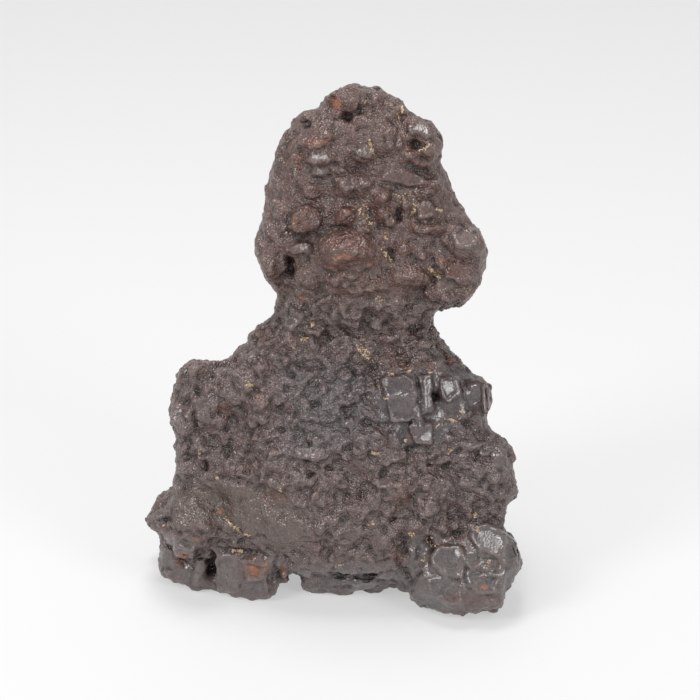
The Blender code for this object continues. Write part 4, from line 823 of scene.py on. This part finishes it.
def thinned(mesh, target):
    """The mesh with fewer triangles, most of them kept where the picture looks."""
    obj = bare_object("stone thinning", mesh)
    skin = Skin(mesh)
    group = obj.vertex_groups.new(name="seen")
    levels = np.clip((skin.facing * 0.5 + 0.6) * (0.4 + 0.6 * (skin.front > 0.0)), 0.0, 1.0)
    steps = np.round(levels * 8.0).astype(int)
    for step in range(1, 9):
        chosen = np.nonzero(steps == step)[0]
        group.add(chosen.tolist(), step / 8.0, "REPLACE")
    mesh.calc_loop_triangles()
    thin = obj.modifiers.new("thin", "DECIMATE")
    thin.ratio = min(1.0, target / len(mesh.loop_triangles))
    thin.vertex_group = "seen"
    thin.invert_vertex_group = True
    thin.vertex_group_factor = 1.0
    graph = bpy.context.evaluated_depsgraph_get()
    result = bpy.data.meshes.new_from_object(obj.evaluated_get(graph))
    drop_object(obj)
    return result


def without_crumbs(mesh):
    """The mesh with only its largest connected part."""
    shape = bmesh.new()
    shape.from_mesh(mesh)
    left = set(shape.verts)
    largest = set()
    while left:
        part, queue = set(), [left.pop()]
        while queue:
            vert = queue.pop()
            part.add(vert)
            for edge in vert.link_edges:
                other = edge.other_vert(vert)
                if other in left:
                    left.remove(other)
                    queue.append(other)
        if len(part) > len(largest):
            largest = part
    bmesh.ops.delete(shape, geom=[vert for vert in shape.verts if vert not in largest], context="VERTS")
    shape.to_mesh(mesh)
    shape.free()
    return mesh


def paint(mesh, name, values):
    """Stores a colour or three numbers for every point of the mesh."""
    layer = mesh.color_attributes.new(name=name, type="FLOAT_COLOR", domain="POINT")
    rows = np.ones((len(mesh.vertices), 4), np.float32)
    rows[:, :3] = values
    layer.data.foreach_set("color", rows.ravel())


def carved_stone(settings):
    """Grows, carves, colours and thins the stone's mesh."""
    skin = Skin(grown_stone(settings.grain))
    zone = zones(skin)
    skin.raise_by(big_shapes(skin, zone), 4)
    flat, rims = lay_faces(skin)
    skin.bend_picture(1.3, 0.4, 70)
    skin.raise_by((draw_lines(skin, CRACKS, -1.0) + dig_hollows(skin)) * 0.8, 5)
    skin.bend_picture(1.3, 0.3, 72)
    skin.raise_by(draw_lines(skin, SEAMS, 0.8) + rims, 3)
    keep_in_outline(skin)
    quiet = (1.0 - 0.9 * flat) * (1.0 - 0.7 * zone["smooth"]) * (1.0 - 0.6 * zone["plate"]) * (1.0 - 0.5 * zone["folds"])
    skin.raise_by(wrinkles(skin, zone) * settings.wrinkling * quiet, 1)
    skin.raise_by((map_lines(skin, zone) + flow_lines(skin) * zone["plate"]) * (1.0 - flat), 1)
    skin.place = skin.evened(skin.place, 1)
    skin.place[:, 2] = np.maximum(skin.place[:, 2], 0.0)
    skin.refresh()
    colour, fine, broad = colours_and_painted_shade(skin, zone, flat, settings)
    polish = np.clip(0.25 + 0.5 * flat + 0.5 * zone["smooth"] + 0.2 * zone["plate"] - 2.0 * np.clip(fine, 0, 0.2), 0, 1)
    notes = np.stack([smooth_step(0.0, 0.6, broad), polish, smooth_step(0.0, 0.15, fine)], 1)
    # The colour attribute holds the stone's colour together with the painted crevice shade.
    paint(skin.mesh, "stone_colour_and_shade", colour)
    paint(skin.mesh, "stone_notes", notes)
    return without_crumbs(thinned(skin.mesh, settings.triangles))


def link(tree, source, output, target, socket):
    tree.links.new(source.outputs[output], target.inputs[socket])


def noise_node(tree, coordinates, scale, detail, distortion=0.0):
    node = tree.nodes.new("ShaderNodeTexNoise")
    node.inputs["Scale"].default_value = scale
    node.inputs["Detail"].default_value = detail
    node.inputs["Distortion"].default_value = distortion
    tree.links.new(coordinates.outputs["Object"], node.inputs["Vector"])
    return node


def range_node(tree, source, output, low, high, to_low, to_high):
    node = tree.nodes.new("ShaderNodeMapRange")
    for name, value in (("From Min", low), ("From Max", high), ("To Min", to_low), ("To Max", to_high)):
        node.inputs[name].default_value = value
    tree.links.new(source.outputs[output], node.inputs["Value"])
    return node


def math_node(tree, operation, first, second):
    """A sum or product of two nodes' first outputs, or of a node and a number."""
    node = tree.nodes.new("ShaderNodeMath")
    node.operation = operation
    tree.links.new(first.outputs[0], node.inputs[0])
    if isinstance(second, (int, float)):
        node.inputs[1].default_value = second
    else:
        tree.links.new(second.outputs[0], node.inputs[1])
    return node


def stone_material():
    """Brown ironstone: painted colour with fine speckle, wrinkled and gritty in the small."""
    material = bpy.data.materials.new("brown_ironstone")
    material.use_nodes = True
    tree = material.node_tree
    shader = tree.nodes["Principled BSDF"]
    place = tree.nodes.new("ShaderNodeTexCoord")
    # Vertex colour of the stone, with the painted crevice shade in it.
    painted = tree.nodes.new("ShaderNodeAttribute")
    painted.attribute_name = "stone_colour_and_shade"
    notes = tree.nodes.new("ShaderNodeAttribute")
    notes.attribute_name = "stone_notes"
    parts = tree.nodes.new("ShaderNodeSeparateColor")
    link(tree, notes, "Color", parts, "Color")

    speckle = noise_node(tree, place, 2600.0, 3.0)
    brightness = range_node(tree, speckle, "Fac", 0.3, 0.7, 0.62, 1.38)
    shade = tree.nodes.new("ShaderNodeVectorMath")
    shade.operation = "SCALE"
    link(tree, painted, "Color", shade, 0)
    tree.links.new(brightness.outputs["Result"], shade.inputs["Scale"])
    dust = noise_node(tree, place, 4200.0, 1.0)
    dusty = range_node(tree, dust, "Fac", 0.70, 0.76, 0.0, 0.6)
    mix = tree.nodes.new("ShaderNodeMix")
    mix.data_type = "RGBA"
    tree.links.new(dusty.outputs["Result"], mix.inputs["Factor"])
    tree.links.new(shade.outputs["Vector"], mix.inputs[6])
    mix.inputs[7].default_value = (0.42, 0.33, 0.25, 1.0)
    tree.links.new(mix.outputs[2], shader.inputs["Base Color"])

    rough = range_node(tree, parts, "Green", 0.0, 1.0, 0.31, 0.27)
    mottle = noise_node(tree, place, 900.0, 2.0)
    spread = range_node(tree, mottle, "Fac", 0.3, 0.7, -0.09, 0.09)
    finish = math_node(tree, "ADD", rough, spread)
    tree.links.new(finish.outputs[0], shader.inputs["Roughness"])
    shader.inputs["IOR"].default_value = 1.7
    shader.inputs["Metallic"].default_value = 0.0

    wrinkle = noise_node(tree, place, 620.0, 4.0, 0.8)
    wrinkle.noise_type = "RIDGED_MULTIFRACTAL"
    grains = tree.nodes.new("ShaderNodeTexVoronoi")
    grains.inputs["Scale"].default_value = 2600.0
    tree.links.new(place.outputs["Object"], grains.inputs["Vector"])
    height = math_node(tree, "ADD", math_node(tree, "MULTIPLY", wrinkle, 0.5), math_node(tree, "MULTIPLY", grains, 0.35))
    calm = range_node(tree, parts, "Green", 0.2, 0.8, 1.0, 0.12)
    height = math_node(tree, "MULTIPLY", height, calm)
    bump = tree.nodes.new("ShaderNodeBump")
    bump.inputs["Strength"].default_value = 1.0
    bump.inputs["Distance"].default_value = 0.0006
    tree.links.new(height.outputs[0], bump.inputs["Height"])
    tree.links.new(bump.outputs["Normal"], shader.inputs["Normal"])
    return material


def finish_piece(obj, material):
    """Gives a piece its material and its place in the model."""
    obj.data.materials.clear()
    obj.data.materials.append(material)
    obj.data.shade_smooth()
    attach(obj, "root")


def line_places(line, count, spread, dice):
    """Places in the picture strewn along a line."""
    for _ in range(count):
        t = dice.uniform(0.0, len(line) - 1.001)
        start, end = line[int(t)], line[int(t) + 1]
        part = t - int(t)
        u = start[0] + (end[0] - start[0]) * part + dice.gauss(0.0, spread * 0.5)
        v = start[1] + (end[1] - start[1]) * part + dice.gauss(0.0, spread * 0.5)
        yield u, v


def add_grain(shape, hit, size, dice):
    """Adds one grain of sand."""
    made = bmesh.ops.create_icosphere(shape, subdivisions=1, radius=size * MM)["verts"]
    stretch = Vector([dice.uniform(0.7, 1.3) for _ in range(3)])
    for vert in made:
        vert.co = hit + vert.co * stretch


def sand_mesh(grains, dice):
    """All grains as one mesh, joined a handful at a time."""
    shape = bmesh.new()
    for start in range(0, len(grains), 40):
        handful = bmesh.new()
        for hit, size in grains[start:start + 40]:
            add_grain(handful, hit, size, dice)
        join_piece(shape, handful)
    mesh = bpy.data.meshes.new("crevice_sand")
    shape.to_mesh(mesh)
    shape.free()
    return mesh


def sand_places(tree, mesh, dice):
    """Every grain's place on the skin and its size: along the listed lines, and loose in hollows."""
    for count, spread, line in SAND_LINES:
        for u, v in line_places(line, count, spread, dice):
            hit, _, _, _ = tree.ray_cast(*picture_ray(u, v))
            if hit is not None:
                yield hit, dice.uniform(0.08, 0.20)
    notes = np.empty(len(mesh.vertices) * 4, np.float32)
    mesh.color_attributes["stone_notes"].data.foreach_get("color", notes)
    notes = notes.reshape(-1, 4)
    hollow = np.nonzero((notes[:, 0] > 0.3) & (notes[:, 2] > 0.2))[0]
    for _ in range(1500):
        yield mesh.vertices[int(hollow[dice.randrange(len(hollow))])].co.copy(), dice.uniform(0.04, 0.10)
    for _ in range(900):
        yield mesh.vertices[dice.randrange(len(mesh.vertices))].co.copy(), dice.uniform(0.03, 0.07)


def sand_material(colour):
    """Cream sand, each grain its own shade."""
    material = bpy.data.materials.new("cream_sand")
    material.use_nodes = True
    tree = material.node_tree
    shader = tree.nodes["Principled BSDF"]
    place = tree.nodes.new("ShaderNodeTexCoord")
    shades = noise_node(tree, place, 1800.0, 1.0)
    ramp = tree.nodes.new("ShaderNodeMix")
    ramp.data_type = "RGBA"
    amount = range_node(tree, shades, "Fac", 0.35, 0.65, 0.0, 1.0)
    tree.links.new(amount.outputs["Result"], ramp.inputs["Factor"])
    ramp.inputs[6].default_value = (colour[0] * 0.45, colour[1] * 0.38, colour[2] * 0.30, 1.0)
    ramp.inputs[7].default_value = (*colour, 1.0)
    tree.links.new(ramp.outputs[2], shader.inputs["Base Color"])
    shader.inputs["Roughness"].default_value = 0.7
    return material


def add_light(name, place, size, power, aim):
    """A square soft light, place and aim in metres."""
    light = bpy.data.lights.new(name, "AREA")
    light.shape = "RECTANGLE"
    light.size, light.size_y = size
    light.energy = power
    obj = bpy.data.objects.new(name, light)
    bpy.context.scene.collection.objects.link(obj)
    obj.location = place
    obj.rotation_euler = (aim - place).to_track_quat("-Z", "Y").to_euler()


def add_floor(colour, glow):
    """A pale floor that sweeps up behind the stone and glows a little, as a lit table does."""
    shape = bmesh.new()
    half, back, bend, height = 6.0, 1.1, 0.45, 1.6
    profile = [(-half, 0.0), (back - bend, 0.0)]
    for step in range(1, 13):
        angle = step / 12.0 * math.pi / 2.0
        profile.append((back - bend + bend * math.sin(angle), bend - bend * math.cos(angle)))
    profile.append((back, height))
    verts = [shape.verts.new((-half, y, z)) for y, z in profile]
    edges = [shape.edges.new(pair) for pair in zip(verts, verts[1:])]
    made = bmesh.ops.extrude_edge_only(shape, edges=edges)["geom"]
    moved = [item for item in made if isinstance(item, bmesh.types.BMVert)]
    bmesh.ops.translate(shape, verts=moved, vec=(2.0 * half, 0.0, 0.0))
    bmesh.ops.recalc_face_normals(shape, faces=shape.faces)
    mesh = bpy.data.meshes.new("floor")
    shape.to_mesh(mesh)
    shape.free()
    floor = bare_object("floor", mesh)
    material = bpy.data.materials.new("pale_floor")
    material.use_nodes = True
    shader = material.node_tree.nodes["Principled BSDF"]
    shader.inputs["Base Color"].default_value = (*colour, 1.0)
    shader.inputs["Emission Color"].default_value = (1.0, 1.0, 1.0, 1.0)
    shader.inputs["Emission Strength"].default_value = glow
    shader.inputs["Roughness"].default_value = 0.6
    shader.inputs["Specular IOR Level"].default_value = 0.2
    mesh.materials.append(material)
    mesh.shade_smooth()


class StoneSettings(bpy.types.PropertyGroup):
    """Sizes and colours of the stone."""

    grain: FloatProperty(
        name="Grain", description="Width of the smallest step of the skin", default=0.00036, unit="LENGTH", precision=5
    )
    triangles: IntProperty(name="Triangles", description="Triangles of the finished stone", default=190000)
    wrinkling: FloatProperty(name="Wrinkling", description="How strongly the skin is wrinkled", default=1.0)
    body_colour: FloatVectorProperty(
        name="Body", description="Colour of the body's crust", subtype="COLOR", default=(0.096, 0.060, 0.055)
    )
    head_colour: FloatVectorProperty(
        name="Head", description="Colour of the head's nodules", subtype="COLOR", default=(0.098, 0.051, 0.042)
    )
    cool_colour: FloatVectorProperty(
        name="Blue-grey", description="Colour of the slope and the crystals", subtype="COLOR", default=(0.068, 0.055, 0.057)
    )
    olive_colour: FloatVectorProperty(
        name="Olive", description="Colour of the smooth plate", subtype="COLOR", default=(0.088, 0.062, 0.048)
    )
    grey_colour: FloatVectorProperty(
        name="Grey", description="Colour of the clean flat faces", subtype="COLOR", default=(0.095, 0.082, 0.080)
    )
    rust_colour: FloatVectorProperty(
        name="Red-brown", description="Colour of the iron-stained places", subtype="COLOR", default=(0.095, 0.032, 0.020)
    )
    orange_colour: FloatVectorProperty(
        name="Orange", description="Colour of the rust spots", subtype="COLOR", default=(0.340, 0.120, 0.050)
    )
    # Painted shade: the near-black colour laid into the crevices and hollows.
    painted_crevice_shade: FloatVectorProperty(
        name="Crevice", description="Colour deep between the lumps", subtype="COLOR", default=(0.010, 0.006, 0.005)
    )
    # Lighter colour laid on the ridges by their shape.
    edge_colour: FloatVectorProperty(
        name="Edge", description="Colour of the raised ridges", subtype="COLOR", default=(0.175, 0.130, 0.118)
    )


class SandSettings(bpy.types.PropertyGroup):
    """Colour of the sand in the crevices."""

    colour: FloatVectorProperty(
        name="Sand", description="Colour of the lightest grains", subtype="COLOR", default=(0.66, 0.52, 0.36)
    )


class StageSettings(bpy.types.PropertyGroup):
    """Floor, lights and camera."""

    floor_colour: FloatVectorProperty(
        name="Floor", description="Colour of the floor", subtype="COLOR", default=(0.38, 0.38, 0.38)
    )
    floor_glow: FloatProperty(name="Floor glow", description="Light that the floor gives by itself", default=0.45)
    brightness: FloatProperty(name="Brightness", description="Strength of all lights together", default=1.0)


class PROPHECY_OT_stone(bpy.types.Operator):
    """Make the stone with all its lumps, faces, cracks and wrinkles"""

    bl_idname = "prophecy.stone"
    bl_label = "Make the stone"

    def execute(self, context):
        mesh = carved_stone(context.scene.prophecy_stone)
        stone = bare_object("ironstone_body", mesh)
        finish_piece(stone, stone_material())
        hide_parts("prophecy_stone")
        return {"FINISHED"}


class PROPHECY_OT_sand(bpy.types.Operator):
    """Strew sand grains in the stone's crevices"""

    bl_idname = "prophecy.sand"
    bl_label = "Strew the sand"

    def execute(self, context):
        stone = bpy.data.objects["ironstone_body"]
        seat = bmesh.new()
        seat.from_mesh(stone.data)
        tree = BVHTree.FromBMesh(seat)
        seat.free()
        dice = random.Random(5)
        mesh = sand_mesh(list(sand_places(tree, stone.data, dice)), dice)
        sand = bare_object("crevice_sand", mesh)
        finish_piece(sand, sand_material(context.scene.prophecy_sand.colour))
        return {"FINISHED"}


class PROPHECY_OT_stage(bpy.types.Operator):
    """Set up the floor, the lights and the camera"""

    bl_idname = "prophecy.stage"
    bl_label = "Set the stage"

    def execute(self, context):
        settings = context.scene.prophecy_stage
        add_floor(settings.floor_colour, settings.floor_glow)
        aim = AIM * MM
        power = settings.brightness
        add_light("overhead", Vector((-0.05, 0.02, 0.75)), (0.4, 0.25), 3.2 * power, aim)
        add_light("left", Vector((-0.55, -0.5, 0.5)), (0.3, 0.3), 3.6 * power, aim)
        add_light("right", Vector((0.5, -0.6, 0.4)), (0.3, 0.3), 2.8 * power, aim)
        world = bpy.data.worlds.new("soft room")
        world.use_nodes = True
        world.node_tree.nodes["Background"].inputs["Color"].default_value = (1.0, 1.0, 1.0, 1.0)
        world.node_tree.nodes["Background"].inputs["Strength"].default_value = 0.35 * power
        context.scene.world = world
        context.scene.view_settings.view_transform = "Standard"
        camera = bpy.data.cameras.new("camera")
        camera.sensor_width = SENSOR
        camera.lens = SENSOR * EYE_DISTANCE / VIEW_WIDTH
        camera.clip_start = 0.01
        eye = bpy.data.objects.new("camera", camera)
        context.scene.collection.objects.link(eye)
        eye.location = EYE * MM
        eye.rotation_euler = (-TOWARDS_EYE).to_track_quat("-Z", "Y").to_euler()
        context.scene.camera = eye
        return {"FINISHED"}


class PROPHECY_PT_panel(bpy.types.Panel):
    """Lists the stone's pieces"""

    bl_idname = "PROPHECY_PT_panel"
    bl_label = "Prophecy Stone"
    bl_space_type = "VIEW_3D"
    bl_region_type = "UI"
    bl_category = "Prophecy Stone"

    def draw(self, context):
        for settings, operator in (
            (context.scene.prophecy_stone, PROPHECY_OT_stone),
            (context.scene.prophecy_sand, PROPHECY_OT_sand),
            (context.scene.prophecy_stage, PROPHECY_OT_stage),
        ):
            box = self.layout.box()
            for name in settings.__annotations__:
                box.prop(settings, name)
            box.operator(operator.bl_idname)


CLASSES = (
    StoneSettings,
    SandSettings,
    StageSettings,
    PROPHECY_OT_stone,
    PROPHECY_OT_sand,
    PROPHECY_OT_stage,
    PROPHECY_PT_panel,
)


def register():
    for item in CLASSES:
        bpy.utils.register_class(item)
    bpy.types.Scene.prophecy_stone = PointerProperty(type=StoneSettings)
    bpy.types.Scene.prophecy_sand = PointerProperty(type=SandSettings)
    bpy.types.Scene.prophecy_stage = PointerProperty(type=StageSettings)


def unregister():
    del bpy.types.Scene.prophecy_stone
    del bpy.types.Scene.prophecy_sand
    del bpy.types.Scene.prophecy_stage
    for item in reversed(CLASSES):
        bpy.utils.unregister_class(item)


def main():
    """Makes everything."""
    register()
    bpy.ops.prophecy.stone()
    bpy.ops.prophecy.sand()
    bpy.ops.prophecy.stage()


if __name__ == "__main__":
    main()
